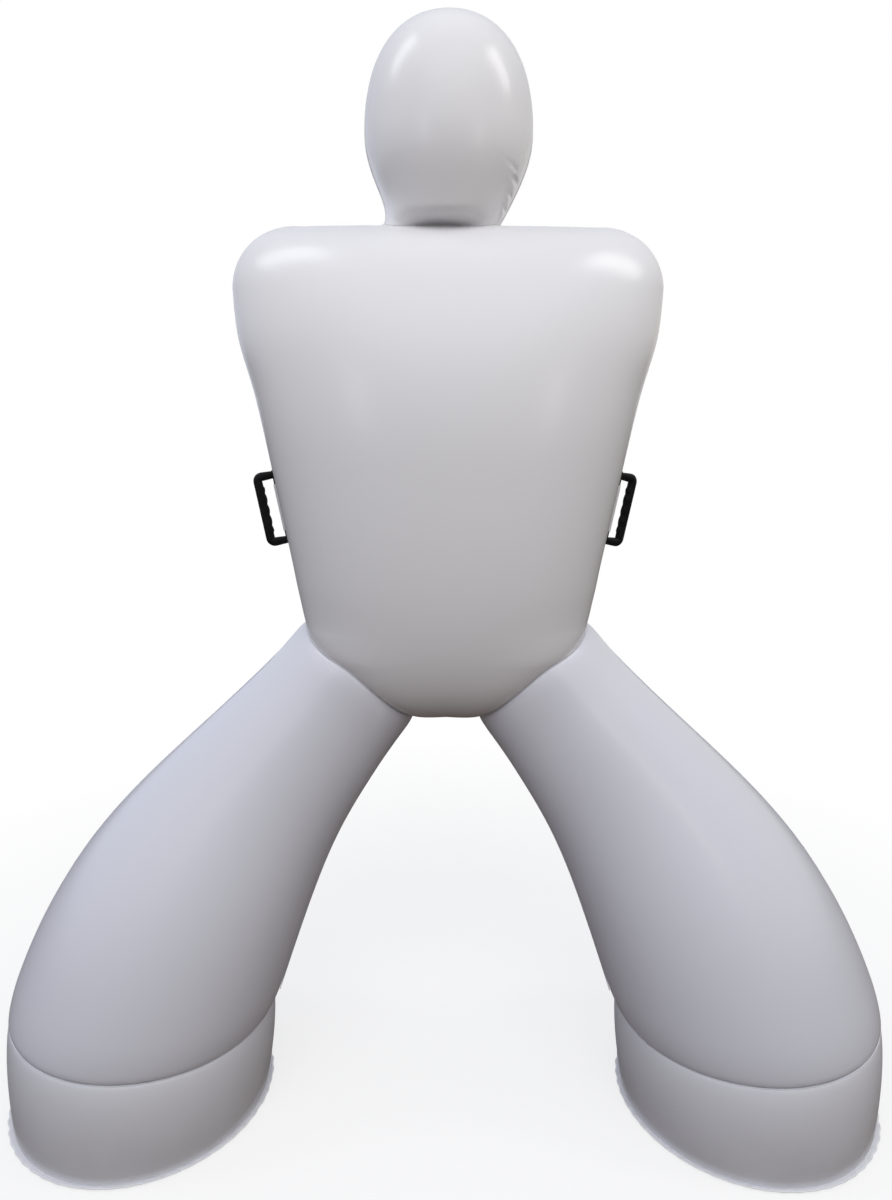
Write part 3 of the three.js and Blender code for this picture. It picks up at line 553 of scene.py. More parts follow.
def crease(grid, start, end, depth, width):
    """A short fold pressed into a panel from one point to another, with a slight lip beside it."""
    start, end = np.array(start), np.array(end)
    run = end - start
    share = np.clip(((grid - start) @ run) / (run @ run), 0, 1)
    off = np.linalg.norm(grid - (start + share[..., None] * run), axis=2) / width
    fade = 0.35 + 0.65 * np.sin(math.pi * np.clip(share, 0.12, 0.88))
    return -depth * (1 - off**2 * 0.9) * np.exp(-(off**2)) * fade


head_creases = (
    ((0.070, -0.082, 1.604), (0.102, -0.050, 1.590), 0.0008, 0.0055),
    ((0.082, -0.062, 1.586), (0.109, -0.024, 1.575), 0.0012, 0.0060),
    ((0.074, -0.058, 1.566), (0.104, -0.014, 1.556), 0.0010, 0.0050),
    ((0.078, -0.040, 1.545), (0.092, -0.010, 1.538), 0.0009, 0.0050),
)
for part, grid, seed in (("front", head_grid, 5), ("back", mirrored(head_grid, 1), 55)):
    neck_gathers = pucker(grid, "bottom", 0.0012, 0.03, 0.022, seed + 20)
    shaped = raised(grid, side_gathers(grid, seed, 0.018, 0.015), neck_gathers)
    if part == "front":
        shaped = raised(shaped, *(crease(grid, *mark) for mark in head_creases))
    head = film_sheet(f"head_{part}_film", shaped, film, weld_marks(grid, ("first", "last", "bottom")))
    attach(head, "shell")
    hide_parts(f"head_{part}_panel")

# Each leg is a fat tube of two film panels, welded to the torso round the hip and to the foot round
# the ankle. It swells over both welds.
foot_x = 0.559
seam_x = foot_x - 0.011
seam_z = 0.183
seam_tilt = math.radians(3)
seam_radius = 0.2275
seam_gap = 0.00055
seam_across = np.array([math.cos(seam_tilt), math.sin(seam_tilt)])
seam_up = np.array([-seam_across[1], seam_across[0]])
leg_foot = np.array([seam_x, seam_z]) + seam_up * seam_gap
ankle_swell = 0.008
ankle_radius = seam_radius + ankle_swell
leg_count = 150
both_sides = (("left", -1), ("right", 1))


def leg_side(start, end, slopes, pulls):
    """A leg's outline from hip to ankle. The slopes at its ends are in degrees below level."""
    length = np.linalg.norm(end - start)
    leave, arrive = (np.array([math.cos(a), -math.sin(a)]) for a in np.radians(slopes))
    knots = [start, start + leave * length * pulls[0], end - arrive * length * pulls[1], end]
    return bezier(knots, leg_count)


hip_along = unit(hip_reach)
hip_weld_gap = 0.0007
hip_down = np.array([hip_along[1], -hip_along[0]]) * hip_weld_gap
ankle_reach = seam_across * ankle_radius
leg_outer = leg_side(hip_outer + hip_down, leg_foot + ankle_reach, (47.8, 71.5), (0.38, 0.435))
leg_inner = leg_side(hip_inner + hip_down, leg_foot - ankle_reach, (57.8, 71.9), (0.44, 0.6))
hip_roundness = hip_ring_depth / np.linalg.norm(hip_reach)
leg_flattening = 0.07
ankle_start = 0.93
leg_rows = []
for k in range(leg_count):
    share = k / (leg_count - 1)
    middle, reach = (leg_outer[k] + leg_inner[k]) / 2, (leg_outer[k] - leg_inner[k]) / 2
    near = max(0, (share - ankle_start) / (1 - ankle_start))
    reach = reach * (1 - ankle_swell / ankle_radius * (1 - math.sqrt(1 - near**2)))
    roundness = hip_roundness + (1 - hip_roundness) * share
    roundness -= leg_flattening * math.sin(math.pi * share)
    angle = np.linspace(0, math.pi, 110)
    x = middle[0] + reach[0] * np.cos(angle)
    y = np.linalg.norm(reach) * roundness * np.sin(angle)
    z = middle[1] + reach[1] * np.cos(angle) + hip_lift(angle) * (1 - share) ** 4
    leg_rows.append(np.stack([x, -y - seam_half_gap, z], -1))
leg_grid = np.array(leg_rows)


def leg_panel(grid, seed):
    return raised(
        grid,
        side_gathers(grid, seed, 0.028, 0.026),
        pucker(grid, "top", 0.0016, 0.05, 0.034, seed + 20),
        pucker(grid, "bottom", 0.0006, 0.025, 0.032, seed + 30),
        swell(from_edge(grid, "top")[0], 0.004, 0.0096, 0.06),
    )


hip_gather = ((0.176, -0.106, 0.866), (0.203, -0.120, 0.800), 0.0016, 0.010)
# The legs' film is a darker, bluer copy of the white film: painted shade and painted blue side light.
leg_film_painted_shade = film_material("leg_vinyl_film_painted_shade", (0.72, 0.725, 0.785), 0.33)
for side, sign, seed in (("left", -1, 7), ("right", 1, 71)):
    front = leg_grid if sign > 0 else mirrored(leg_grid, 0)
    for part, grid, shift in (("front", front, 0), ("back", mirrored(front, 1), 100)):
        flip = (sign, 1 if part == "front" else -1, 1)
        start, end = (np.array(p) * flip for p in hip_gather[:2])
        shaped = raised(leg_panel(grid, seed + shift), crease(grid, start, end, *hip_gather[2:]))
        marks = weld_marks(grid, ("first", "last", "top", "bottom"))
        leg = film_sheet(f"{side}_leg_{part}_film", shaped, leg_film_painted_shade, marks)
        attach(leg, "shell")
        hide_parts(f"{side}_leg_{part}_panel")

# Each foot is a round ballast tank: a barrelled wall of heavier film between the ankle weld and the
# sole, which the water inside pushes out.
sole_radius = 0.229
seated_bulge = 0.008
full_bulge = 0.0095
side_share = 0.65
foot_narrowing = 0.024
filler_out = Vector((0.642788, 0.766044, 0))
filler_place = Vector((0.701942, 0.178804, 0.118))
filler_hole_radius = 0.0195
collar_reach = 0.040
wall_low = 0.0013
# This film greys towards the floor: partly dirt, partly painted shade.
foot_film = film_material("heavy_vinyl_film", (0.715, 0.715, 0.755), 0.38, 1.6, 0.35)
around = np.linspace(0, 2 * math.pi, 320, endpoint=False)
cosine, sine = np.cos(around), np.sin(around)
wall_x, wall_z = np.array([seam_x, seam_z]) - seam_up * seam_gap
top_x = wall_x + seam_radius * cosine * seam_across[0]
top_z = wall_z + seam_radius * cosine * seam_across[1]
wall_top = np.stack([top_x, -seam_radius * sine, top_z], -1)
wall_foot = np.stack([foot_x + sole_radius * cosine, -sole_radius * sine, 0 * around + wall_low], -1)
wall_rows = []
for share in (1 - np.cos(np.linspace(0, math.pi, 72))) / 2:
    row = wall_top * (1 - share) + wall_foot * share
    from_filler = np.linalg.norm(row - np.array(filler_place), axis=1)
    near_filler = np.exp(-((from_filler / collar_reach) ** 4))
    full = full_bulge * max(0, math.sin(math.pi * share**0.75)) ** 0.75
    seated = seated_bulge * math.sin(math.pi * share**1.4) - 0.0003
    bulge = full + (seated - full) * near_filler
    sideways = cosine * (side_share + (1 - side_share) * near_filler)
    row[:, 0] += (foot_x - row[:, 0]) * foot_narrowing * share * (1 - near_filler)
    row += bulge[:, None] * np.stack([sideways, -sine, 0 * around], -1)
    wall_rows.append(row)
wall_grid = np.array(wall_rows)
for side, sign in both_sides:
    grid = wall_grid if sign > 0 else mirrored(wall_grid, 0)
    hole = (np.array(filler_place) * (sign, 1, 1), filler_hole_radius)
    marks = weld_marks(grid, ("top", "bottom"))
    wall = film_sheet(f"{side}_foot_wall_film", grid, foot_film, marks, closed=True, hole=hole)
    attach(wall, "shell")
    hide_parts(f"{side}_foot_wall")

# Between the leg's air and the foot's water lies the deck, a disc of film that is welded in with the
# ankle seam. Only its thin cut edge shows.
for side, sign in both_sides:
    rings = []
    for radius in (0.02, 0.08, 0.15, 0.20, seam_radius - 0.004, seam_radius, seam_radius + 0.0016):
        sag = 0.0002 if radius < seam_radius - 0.001 else 0
        x = sign * (seam_x + radius * cosine * seam_across[0])
        z = seam_z + 0.00025 - sag + radius * cosine * seam_across[1]
        rings.append(np.stack([x, radius * sine * sign, z], -1))
    deck = film_sheet(f"{side}_foot_deck_film", np.array(rings), foot_film, closed=True)
    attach(deck, "shell")
    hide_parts(f"{side}_foot_deck")

# Each sole is a flat disc of film. Its weld flange stands out round the foot as a thin pale rim that
# the welding has rippled. The sole's film is a paler copy of the foot's film: painted light on the
# rim, which faces up.
flange_width = 0.0095
flange_waves = 53
ripple_out, ripple_up = 0.0017, 0.0012
sole_film_painted_light = film_material("sole_vinyl_film_painted_light", (0.84, 0.84, 0.87), 0.34)
for side, sign, seed in (("left", -1, 19), ("right", 1, 39)):
    rings = []
    length = around * sole_radius
    waves = np.sin(around * flange_waves + 1.5 * wander(length, seed + 1, 0.16))
    ripple = 0.4 * wander(length, seed, 0.027) + 0.6 * waves
    for radius, height, wave in (
        (0.02, 0.0001, 0),
        (0.12, 0.0001, 0),
        (sole_radius - 0.02, 0.0001, 0),
        (sole_radius - 0.003, 0.0002, 0),
        (sole_radius, 0.0009, 0.1),
        (sole_radius + 0.35 * flange_width, 0.0020, 0.5),
        (sole_radius + 0.7 * flange_width, 0.0030, 0.9),
        (sole_radius + flange_width, 0.0034, 1.0),
    ):
        reach = radius + ripple_out * wave * ripple
        x = sign * foot_x + reach * cosine * (1 - foot_narrowing)
        rings.append(np.stack([x, reach * sine, height + ripple_up * wave * ripple], -1))
    sole = film_sheet(f"{side}_sole_film_painted_light", np.array(rings), sole_film_painted_light, None, 0.0009, closed=True)
    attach(sole, "shell")
    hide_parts(f"{side}_sole")

# Every seam ends in a narrow weld flange: the panels' edges, pressed together by a ribbed bar. It is
# widest round the outer hip, and stands out from the seam.
def node_group(name, sizes):
    """A Geometry Nodes tree with named inputs."""
    tree = bpy.data.node_groups.new(name, "GeometryNodeTree")
    kinds = {title: "Int" if isinstance(value, int) else "Float" for title, value in sizes.items()}
    for title, kind in {"Geometry": "Geometry", **kinds, "Material": "Material"}.items():
        tree.interface.new_socket(title, in_out="INPUT", socket_type="NodeSocket" + kind)
    tree.interface.new_socket("Geometry", in_out="OUTPUT", socket_type="NodeSocketGeometry")
    return tree, step(tree, "NodeGroupInput").outputs


def guide(tree):
    """The vector that each point of a base mesh carries."""
    kind = "GeometryNodeInputNamedAttribute"
    return step(tree, kind, {"Name": "guide"}, data_type="FLOAT_VECTOR").outputs["Attribute"]


def joined(tree, *parts):
    join = step(tree, "GeometryNodeJoinGeometry")
    for part in parts:
        feed(tree, join, {0: part})
    return join


def finish_tree(tree, geometry, given):
    real = step(tree, "GeometryNodeRealizeInstances", {0: geometry})
    painted = step(tree, "GeometryNodeSetMaterial", {0: real, "Material": given["Material"]})
    step(tree, "NodeGroupOutput", {0: painted})


def grown(name, mesh, tree_name, sizes, material):
    """The plain mesh that a tree makes of a base mesh."""
    tree = bpy.data.node_groups[tree_name]
    base = linked(name + "_base", mesh)
    grow = base.modifiers.new("grow", "NODES")
    grow.node_group = tree
    values = {**sizes, "Material": material}
    for socket in tree.interface.items_tree:
        if socket.name in values:
            grow[socket.identifier] = values[socket.name]
    seen = base.evaluated_get(bpy.context.evaluated_depsgraph_get())
    made = bpy.data.meshes.new_from_object(seen)
    bpy.data.objects.remove(base)
    made.name = name
    return linked(name, made)


def path_mesh(name, points, guides, closed=False):
    count = len(points)
    edges = [(k, k + 1) for k in range(count - 1)] + ([(count - 1, 0)] if closed else [])
    mesh = bpy.data.meshes.new(name)
    mesh.from_pydata([tuple(p) for p in points], edges, [])
    layer = mesh.attributes.new("guide", "FLOAT_VECTOR", "POINT")
    layer.data.foreach_set("vector", np.asarray(guides, dtype=np.float32).ravel())
    return mesh


flange_sizes = {"Thickness": 0.0009, "Rib Pitch": 0.0024, "Rib Height": 0.00022}
rib_middle, rib_share = 0.52, 0.8
tree, given = node_group("weld_flange", flange_sizes)
reach = guide(tree)
flows = {"Mesh": given["Geometry"], "Offset": reach}
strip = step(tree, "GeometryNodeExtrudeMesh", flows, mode="EDGES")
flows = {"Mesh": strip, "Offset Scale": given["Thickness"], "Individual": False}
skin = step(tree, "GeometryNodeExtrudeMesh", flows, mode="FACES")
under = step(tree, "GeometryNodeFlipFaces", {"Mesh": strip})
flows = {"Geometry": joined(tree, skin, under), "Distance": 0.00002}
shell = step(tree, "GeometryNodeMergeByDistance", flows)
line = step(tree, "GeometryNodeMeshToCurve", {"Mesh": given["Geometry"]})
flows = {"Curve": line, "Length": given["Rib Pitch"]}
marks = step(tree, "GeometryNodeCurveToPoints", flows, mode="LENGTH")
flows = {"Geometry": marks, "Offset": maths(tree, "VECTOR_SCALE", reach, rib_middle)}
centred = step(tree, "GeometryNodeSetPosition", flows)
flows = {0: reach, 1: marks.outputs["Tangent"]}
turn = step(tree, "FunctionNodeAxesToRotation", flows, primary_axis="X", secondary_axis="Z")
rib_length = maths(tree, "MULTIPLY", maths(tree, "VECTOR_LENGTH", reach), rib_share)
rib_thickness = maths(tree, "MULTIPLY_ADD", given["Rib Height"], 2.0, given["Thickness"])
rib_breadth = maths(tree, "MULTIPLY", given["Rib Pitch"], 0.5)
rib_size = step(tree, "ShaderNodeCombineXYZ", {0: rib_length, 1: rib_thickness, 2: rib_breadth})
bar = step(tree, "GeometryNodeMeshCube", {"Size": (1, 1, 1)})
flows = {"Points": centred, "Instance": bar, "Rotation": turn, "Scale": rib_size}
ribs = step(tree, "GeometryNodeInstanceOnPoints", flows)
finish_tree(tree, joined(tree, shell, ribs), given)


def weld_flange(name, points, reach, material, closed=False):
    mesh = path_mesh(name + "_path", points, reach, closed)
    flange = grown(name, mesh, "weld_flange", flange_sizes, material)
    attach(flange, "shell")


def seam_flange(name, line, width, sign, material):
    """A flange along a seam in the middle plane, from points (x, z) of the right-hand side. A width
    above 0 puts it on the left as the seam runs."""
    run = np.gradient(line, axis=0)
    out = width * unit(np.stack([-run[:, 1], run[:, 0]], -1))
    points, reach = (np.insert(pairs * (sign, 1), 1, 0, axis=1) for pairs in (line, out))
    weld_flange(name, points, reach, material)


seam_width = 0.0012
patch_margin = 0.003
torso_side = torso_grid[hip_row::-1, 0][:, [0, 2]]
torso_side = torso_side[: np.argmax(torso_side[:, 1] >= torso_top - 1e-6) + 1]
across_top = np.linspace(top_half_width, neck_half_width + 0.002, 40)[1:]
torso_side = np.vstack([torso_side, *((x, torso_top) for x in across_top)])
below_patch = torso_side[:, 1] < handle_z - patch_half_height - patch_margin
above_patch = torso_side[:, 1] > handle_z + patch_half_height + patch_margin
for side, sign in both_sides:
    seam_flange(f"{side}_lower_torso_weld", torso_side[below_patch], -seam_width, sign, film)
    seam_flange(f"{side}_torso_weld", torso_side[above_patch], -seam_width, sign, film)
    head_edge = head_grid[::-1, 0 if sign > 0 else -1]
    head_side = np.stack([sign * head_edge[:, 0], head_edge[:, 2]], -1)
    seam_flange(f"{side}_head_weld", head_side[2:], -seam_width, sign, film)
    seam_flange(f"{side}_leg_outer_weld", leg_outer[3:-4], seam_width, sign, leg_film_painted_shade)
    seam_flange(f"{side}_leg_inner_weld", leg_inner[3:-4], -seam_width, sign, leg_film_painted_shade)

ring_angle = np.linspace(0, 2 * math.pi, 300, endpoint=False)
ring = hip_ring(ring_angle)
ring_out = unit(ring - (hip_middle[0], 0, hip_middle[1]))
ring_up = np.array([hip_along[1], 0, -hip_along[0]])
from_outside = np.minimum(ring_angle, 2 * math.pi - ring_angle)
ring_width = 0.0014 + 0.0024 * (1 - np.clip(from_outside / 1.5, 0, 1) ** 2) ** 1.5
ring_wave = 0.0007 * wander(run_along(ring), 77, 0.02) * (ring_width > 0.003)
ring_reach = ring_out * ring_width[:, None] + ring_wave[:, None] * ring_up
for side, sign in both_sides:
    flip = (sign, 1, 1)
    weld_flange(f"{side}_hip_weld", ring * flip, ring_reach * flip, film, closed=True)

neck_weld_lift = 0.0006
neck_weld_width = 0.003


def on_torso_top(points):
    """Points that are moved up or down to lie just above the torso's top."""
    x, y = points[:, 0], points[:, 1]
    return np.stack([x, y, torso_top_at(x, y) + neck_weld_lift], -1)


neck_ring = np.vstack([head_grid[-1], (head_grid[-1] * (1, -1, 1))[::-1][1:-1]])
neck_curve = (1 / neck_half_width**2, 1 / neck_half_depth**2, 0)
neck_out = unit((neck_ring + (neck_shift, 0, 0)) * neck_curve)
neck_base = on_torso_top(neck_ring)
neck_reach = on_torso_top(neck_ring + neck_weld_width * neck_out) - neck_base
weld_flange("neck_weld", neck_base, neck_reach, film, closed=True)

# Each handle hangs on a patch, a pad of film welded on the torso's side. A sleeve of the same film is
# wrapped round the handle's rod, and its two feet are welded to the patch.
side_lean = math.atan2(0.190362, 0.981714)
handle_mount_x = 0.276699


def mount_frame(sign):
    """Where a handle is mounted: X points out of the torso's side, and Z runs up along it."""
    place = Matrix.Translation((sign * handle_mount_x, handle_setback, handle_z))
    return place @ Matrix.Diagonal((sign, sign, 1, 1)) @ Matrix.Rotation(side_lean, 4, "Y")


patch_half_width = 0.025
patch_corner = 0.009
patch_proud = 0.0011
patch_columns = 40
patch_rise = patch_half_height * math.cos(side_lean)
patch_rows = []
for v in np.sin(np.linspace(-math.pi / 2, math.pi / 2, 60)):
    past = max(0, abs(v * patch_rise) - patch_rise + patch_corner)
    half = patch_half_width - patch_corner + math.sqrt(max(0, patch_corner**2 - past**2))
    y = handle_setback + np.linspace(-half, half, patch_columns)
    z = np.full(patch_columns, handle_z + v * patch_rise)
    inside = (np.abs(y) / torso_half_depth(z)) ** torso_power
    x = torso_half_width(z) * (1 - inside) ** (1 / torso_power) + patch_proud / math.cos(side_lean)
    patch_rows.append(np.stack([x, y, z], -1))
patch_grid = np.array(patch_rows)
sleeve_half = [
    (-0.0021, 0.0140), (-0.0021, 0.0100), (-0.0021, 0.0070), (-0.0015, 0.0052),
    (0.0000, 0.0043), (0.0025, 0.0034), (0.0040, 0.0013),
]
sleeve_line = smooth_line(np.array([(x, -y) for x, y in sleeve_half] + sleeve_half[::-1]), 5)
sleeve_half_length = 0.039
sleeve_z = np.linspace(-sleeve_half_length, sleeve_half_length, 60)
sleeve_grid = np.array([np.insert(sleeve_line, 2, z, axis=1) for z in sleeve_z])
for side, sign, seed in (("left", -1, 61), ("right", 1, 67)):
    grid = patch_grid if sign > 0 else mirrored(patch_grid, 0)
    marks = weld_marks(grid, ("first", "last", "top", "bottom"))
    patch = film_sheet(f"{side}_handle_patch_film", grid, film, marks, 0.0008)
    over_rod = np.clip(sleeve_grid[..., 0] / 0.0042, 0, 1)
    rubbed = 0.00012 * over_rod * wander(sleeve_grid[..., 2] + 1, seed, 0.006)
    mounted = np.array(mount_frame(sign))
    grid = raised(sleeve_grid, rubbed) @ mounted[:3, :3].T + mounted[:3, 3]
    marks = weld_marks(sleeve_grid, ("first", "last"))
    sleeve = film_sheet(f"{side}_handle_sleeve_film", grid, film, marks, 0.0009)
    for piece, node in ((patch, f"{side}_handle_patch"), (sleeve, f"{side}_handle_sleeve")):
        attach(piece, "shell")
        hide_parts(node)


# Each carrying handle is one moulding in black plastic: a loop of flattened bar with finger grooves on
# its inner side, closed by a slim round rod that turns in the sleeve.
def moulded_material(name, colour, worn, roughness, grain, shine=0.5):
    """Moulded plastic or rubber: a fine mould grain, faint flow clouds and rubbed patches."""
    material, tree, skin, _ = start_material(name)
    place = step(tree, "ShaderNodeTexCoord").outputs["Object"]
    rubbed = spread(tree, noise(tree, place, 85, 5), 0, 1, 0.45, 0.80)
    clouds = noise(tree, place, 160, 3)
    flows = {
        "Base Color": blend(tree, rubbed, colour, worn),
        "Roughness": spread(tree, clouds, roughness * 0.82, roughness * 1.2),
        "Specular IOR Level": shine,
        "Normal": bump(tree, noise(tree, place, 1300, 2), grain, 0.0002),
    }
    feed(tree, skin, flows)
    return material


def softened(outline, radius, closed=True):
    """A turned piece's outline (radius, height) with its corners rounded."""
    outline = np.array(outline, dtype=float)
    count = len(outline)
    points = []
    for k in range(count):
        here = outline[k]
        if not closed and k in (0, count - 1):
            points.append(here)
            continue
        before, after = outline[k - 1] - here, outline[(k + 1) % count] - here
        cut = min(radius, 0.45 * np.linalg.norm(before), 0.45 * np.linalg.norm(after))
        start, end = here + unit(before) * cut, here + unit(after) * cut
        points.append(start + (start - here) * 0.15)
        for t in np.linspace(0, 1, 5):
            points.append(start * (1 - t) ** 2 + here * 2 * t * (1 - t) + end * t**2)
        points.append(end + (end - here) * 0.15)
    return np.array(points)


def turned_mesh(name, outline, closed=True, segments=80):
    """A mesh turned round Z from an outline of radii and heights that has its solid on the left."""
    points, rings = [], []
    turn = np.linspace(0, 2 * math.pi, segments, endpoint=False)
    for radius, height in outline:
        if radius < 1e-7:
            rings.append([len(points)] * segments)
            points.append((0, 0, height))
        else:
            rings.append(range(len(points), len(points) + segments))
            points += [(radius * math.cos(a), radius * math.sin(a), height) for a in turn]
    faces = []
    pairs = list(zip(rings, rings[1:])) + ([(rings[-1], rings[0])] if closed else [])
    for low, high in pairs:
        for j in range(segments):
            ends = (low[j], low[(j + 1) % segments], high[(j + 1) % segments], high[j])
            faces.append(tuple(dict.fromkeys(ends)))
    return smooth_mesh(name, points, faces)


def place_mesh(name, mesh, matrix, material):
    mesh.materials.append(material)
    mesh.transform(matrix)
    return linked(name, mesh)


def straight(start, end, count):
    return [tuple(p) for p in np.linspace((start[0], 0, start[1]), (end[0], 0, end[1]), count)[1:-1]]


grip_x, arm_z, loop_bend = 0.0285, 0.05475, 0.0072
bend_x, bend_z = grip_x - loop_bend, arm_z - loop_bend
bend_turns = np.linspace(0, math.pi / 2, 14)
bend = [(bend_x + loop_bend * math.sin(a), 0, bend_z + loop_bend * math.cos(a)) for a in bend_turns]
upper_path = [(0, 0, arm_z), *straight((0, arm_z), (bend_x, arm_z), 16), *bend]
lower_path = [(x, 0, -z) for x, _, z in upper_path[::-1]]
loop_path = [*upper_path, *straight((grip_x, bend_z), (grip_x, -bend_z), 120), *lower_path]
bar_sizes = {
    "Grip Half Width": 0.0072,
    "Grip Half Depth": 0.0058,
    "Arm Half Width": 0.0062,
    "Arm Half Depth": 0.0046,
    "Arm Length": bend_x,
    "Corner Power": 0.70,
    "Finger Pitch": 0.018,
    "Finger Depth": 0.0018,
    "Finger Half Length": 0.036,
}
tree, given = node_group("handle_bar", bar_sizes)
bar_sum = partial(maths, tree)


def squared(side):
    """A coordinate of the round profile, pushed out towards a square's corner."""
    power = bar_sum("POWER", bar_sum("ABSOLUTE", side), given["Corner Power"])
    return bar_sum("MULTIPLY", bar_sum("SIGN", side), power)


centre = guide(tree)
here = step(tree, "GeometryNodeInputPosition").outputs[0]
circle = step(tree, "GeometryNodeCurvePrimitiveCircle", {"Resolution": 32, "Radius": 1.0})
round_x, round_y, _ = split(tree, here)
squarish = step(tree, "ShaderNodeCombineXYZ", {0: squared(round_x), 1: squared(round_y)})
section = step(tree, "GeometryNodeSetPosition", {"Geometry": circle, "Position": squarish})
line = step(tree, "GeometryNodeMeshToCurve", {"Mesh": given["Geometry"]})
flows = {"Curve": line, "Normal": (0, 1, 0)}
upright = step(tree, "GeometryNodeSetCurveNormal", flows, mode="FREE")
flows = {"Curve": upright, "Profile Curve": section, "Fill Caps": True}
tube = step(tree, "GeometryNodeCurveToMesh", flows)
off = split(tree, bar_sum("VECTOR_SUBTRACT", here, centre))
along = split(tree, centre)
half_sizes = (
    (given[f"Arm Half {way}"], given[f"Grip Half {way}"], 0.0, given["Arm Length"], "SMOOTHSTEP")
    for way in ("Width", "Depth")
)
half_width, half_depth = (spread(tree, along["X"], *sizes) for sizes in half_sizes)
height = bar_sum("ABSOLUTE", along["Z"])
turns = bar_sum("MULTIPLY", bar_sum("DIVIDE", height, given["Finger Pitch"]), math.pi)
fingers = bar_sum("MULTIPLY", bar_sum("ABSOLUTE", bar_sum("COSINE", turns)), given["Finger Depth"])
fade_start = bar_sum("SUBTRACT", given["Finger Half Length"], 0.001)
fade_end = bar_sum("ADD", given["Finger Half Length"], 0.004)
on_grip = spread(tree, height, 1.0, 0.0, fade_start, fade_end, "SMOOTHSTEP")
inner = bar_sum("MAXIMUM", bar_sum("MULTIPLY", off["X"], -1.0), 0.0)
ridge = bar_sum("MULTIPLY", fingers, bar_sum("MULTIPLY", on_grip, inner))
flows = {
    0: bar_sum("SUBTRACT", bar_sum("MULTIPLY", off["X"], half_width), ridge),
    1: bar_sum("MULTIPLY", off["Y"], half_depth),
    2: bar_sum("MULTIPLY", off["Z"], half_width),
}
moved = bar_sum("VECTOR_ADD", centre, step(tree, "ShaderNodeCombineXYZ", flows).outputs[0])
shaped = step(tree, "GeometryNodeSetPosition", {"Geometry": tube, "Position": moved})
finish_tree(tree, step(tree, "GeometryNodeSetShadeSmooth", {0: shaped}), given)

rod_outline = [
    (0, -0.0600), (0.0030, -0.0597), (0.0042, -0.0585), (0.0042, -0.0500), (0.0030, -0.0490),
    (0.0030, 0.0490), (0.0042, 0.0500), (0.0042, 0.0588), (0.0018, 0.0628), (0, 0.0632),
]
black_plastic = moulded_material(
    "black_moulded_plastic", (0.004, 0.004, 0.0045), (0.009, 0.009, 0.0095), 0.42, 0.25, 0.22
)
for side, sign, swing in (("left", -1, 0), ("right", 1, 30)):
    hung = mount_frame(sign) @ Matrix.Rotation(math.radians(swing), 4, "Z")
    path = path_mesh(f"{side}_handle_path", loop_path, loop_path)
    bar = grown(f"{side}_handle_bar", path, "handle_bar", bar_sizes, black_plastic)
    bar.data.transform(hung)
    mesh = turned_mesh(f"{side}_handle_rod", softened(rod_outline, 0.0008, False), False, 40)
    rod = place_mesh(f"{side}_handle_rod", mesh, hung, black_plastic)
    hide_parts(f"{side}_handle")
    for piece in (bar, rod):
        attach(piece, f"{side}_handle")

# The air valve sits in the torso's back. Its white plastic base is welded in the film, its body screws
# into the base on a rubber ring and holds a rubber flap, and a ribbed cap screws on the body.
cap_sizes = {"Ribs": 14, "Ring Radius": 0.0131, "Rib Radius": 0.0011, "Low": 0.0171, "High": 0.0241}
tree, given = node_group("ribbed_cap", cap_sizes)
flows = {"Vertices": given["Ribs"], "Radius": given["Ring Radius"]}
ring_points = step(tree, "GeometryNodeMeshCircle", flows)
rib_height = maths(tree, "SUBTRACT", given["High"], given["Low"])
both = maths(tree, "ADD", given["High"], given["Low"])
flows = {"Vertices": 12, "Radius": given["Rib Radius"], "Depth": rib_height}
rib = step(tree, "GeometryNodeMeshCylinder", flows)
middle = step(tree, "ShaderNodeCombineXYZ", {2: maths(tree, "MULTIPLY", both, 0.5)})
lifted = step(tree, "GeometryNodeTransform", {"Geometry": rib, "Translation": middle})
grips = step(tree, "GeometryNodeInstanceOnPoints", {"Points": ring_points, "Instance": lifted})
finish_tree(tree, joined(tree, given["Geometry"], grips), given)

white_plastic = moulded_material(
    "white_moulded_plastic", (0.70, 0.70, 0.72), (0.62, 0.62, 0.64), 0.38, 0.12
)
dark_rubber = moulded_material("dark_rubber", (0.030, 0.030, 0.032), (0.050, 0.050, 0.050), 0.62, 0.35)


def facing(place, axis):
    """Where a turned piece goes: its Z points along the axis."""
    return Matrix.Translation(place) @ Vector(axis).to_track_quat("Z", "Y").to_matrix().to_4x4()


def fit_ring(name, node, body, outline, matrix):
    ring = place_mesh(name, turned_mesh(name, softened(outline, 0.0004)), matrix, white_plastic)
    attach(ring, body)
    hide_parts(node)


def fit_cap(name, node, body, outline, sizes, matrix):
    mesh = turned_mesh(name, softened(outline, 0.0005, False), False)
    cap = grown(name, mesh, "ribbed_cap", sizes, white_plastic)
    cap.data.transform(matrix)
    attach(cap, body)
    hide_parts(node)


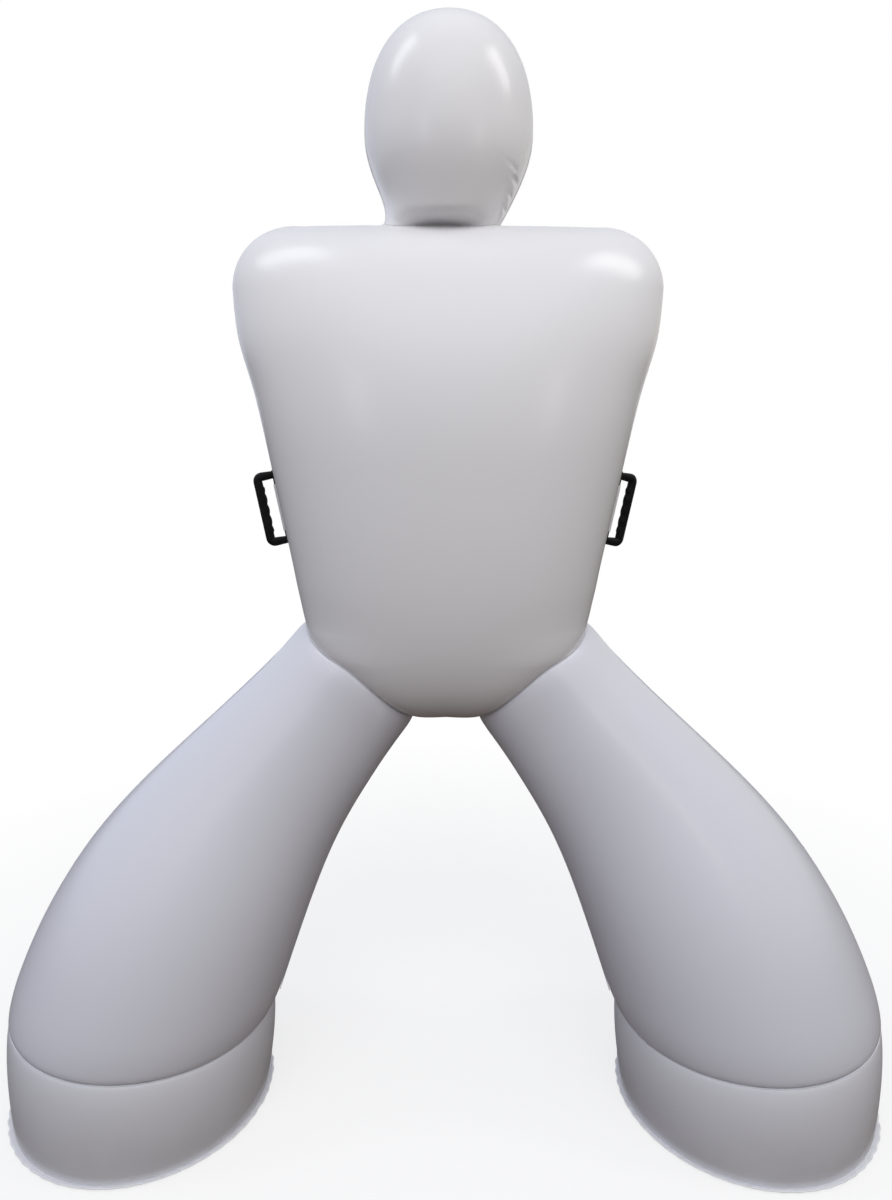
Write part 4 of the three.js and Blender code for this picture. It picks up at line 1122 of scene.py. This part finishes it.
valve_facing = facing(valve_place, (0, 1, 0))
valve_base_outline = [
    (0.0140, -0.0080), (0.0175, -0.0080), (0.0175, -0.0030), (0.0290, -0.0030), (0.0290, 0.0006),
    (0.0278, 0.0012), (0.0175, 0.0012), (0.0175, 0.0112), (0.0140, 0.0112),
]
fit_ring("valve_base_ring", "valve_base", "shell", valve_base_outline, valve_facing)
valve_cap_outline = [
    (0, 0.0230), (0.0118, 0.0230), (0.0118, 0.0167), (0.0134, 0.0167), (0.0134, 0.0246),
    (0.0127, 0.0252), (0.0110, 0.0252), (0.0105, 0.0247), (0, 0.0247),
]
fit_cap("valve_cap_ribbed", "valve_cap", "valve_cap", valve_cap_outline, cap_sizes, valve_facing)


def finish_node(node, material):
    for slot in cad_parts[node].material_slots:
        slot.material = material


finish_node("valve_body", white_plastic)
for node in ("valve_sealing_ring", "valve_cap_seal", "valve_diaphragm"):
    finish_node(node, dark_rubber)

# A filler for water or sand sits in the back of each foot: a white collar welded in the wall, and a
# ribbed screw cap with a rubber gasket under its roof.
collar_outline = [
    (0.0130, -0.0030), (0.0240, -0.0030), (0.0240, 0.0006), (0.0228, 0.0012),
    (0.0170, 0.0012), (0.0170, 0.0122), (0.0130, 0.0122),
]
filler_cap_outline = [
    (0, 0.0143), (0.0173, 0.0143), (0.0173, 0.0015), (0.0191, 0.0015), (0.0191, 0.0160),
    (0.0184, 0.0167), (0.0163, 0.0167), (0.0158, 0.0162), (0, 0.0162),
]
filler_grips = {"Ribs": 14, "Ring Radius": 0.0187, "Rib Radius": 0.0012, "Low": 0.0020, "High": 0.0156}
for side, sign in both_sides:
    flip = Vector((sign, 1, 1))
    filler_facing = facing(filler_place * flip, filler_out * flip)
    collar, cap = f"{side}_filler_collar", f"{side}_filler_cap"
    fit_ring(f"{collar}_ring", collar, "shell", collar_outline, filler_facing)
    fit_cap(f"{cap}_ribbed", cap, cap, filler_cap_outline, filler_grips, filler_facing)
    finish_node(f"{side}_filler_gasket", dark_rubber)
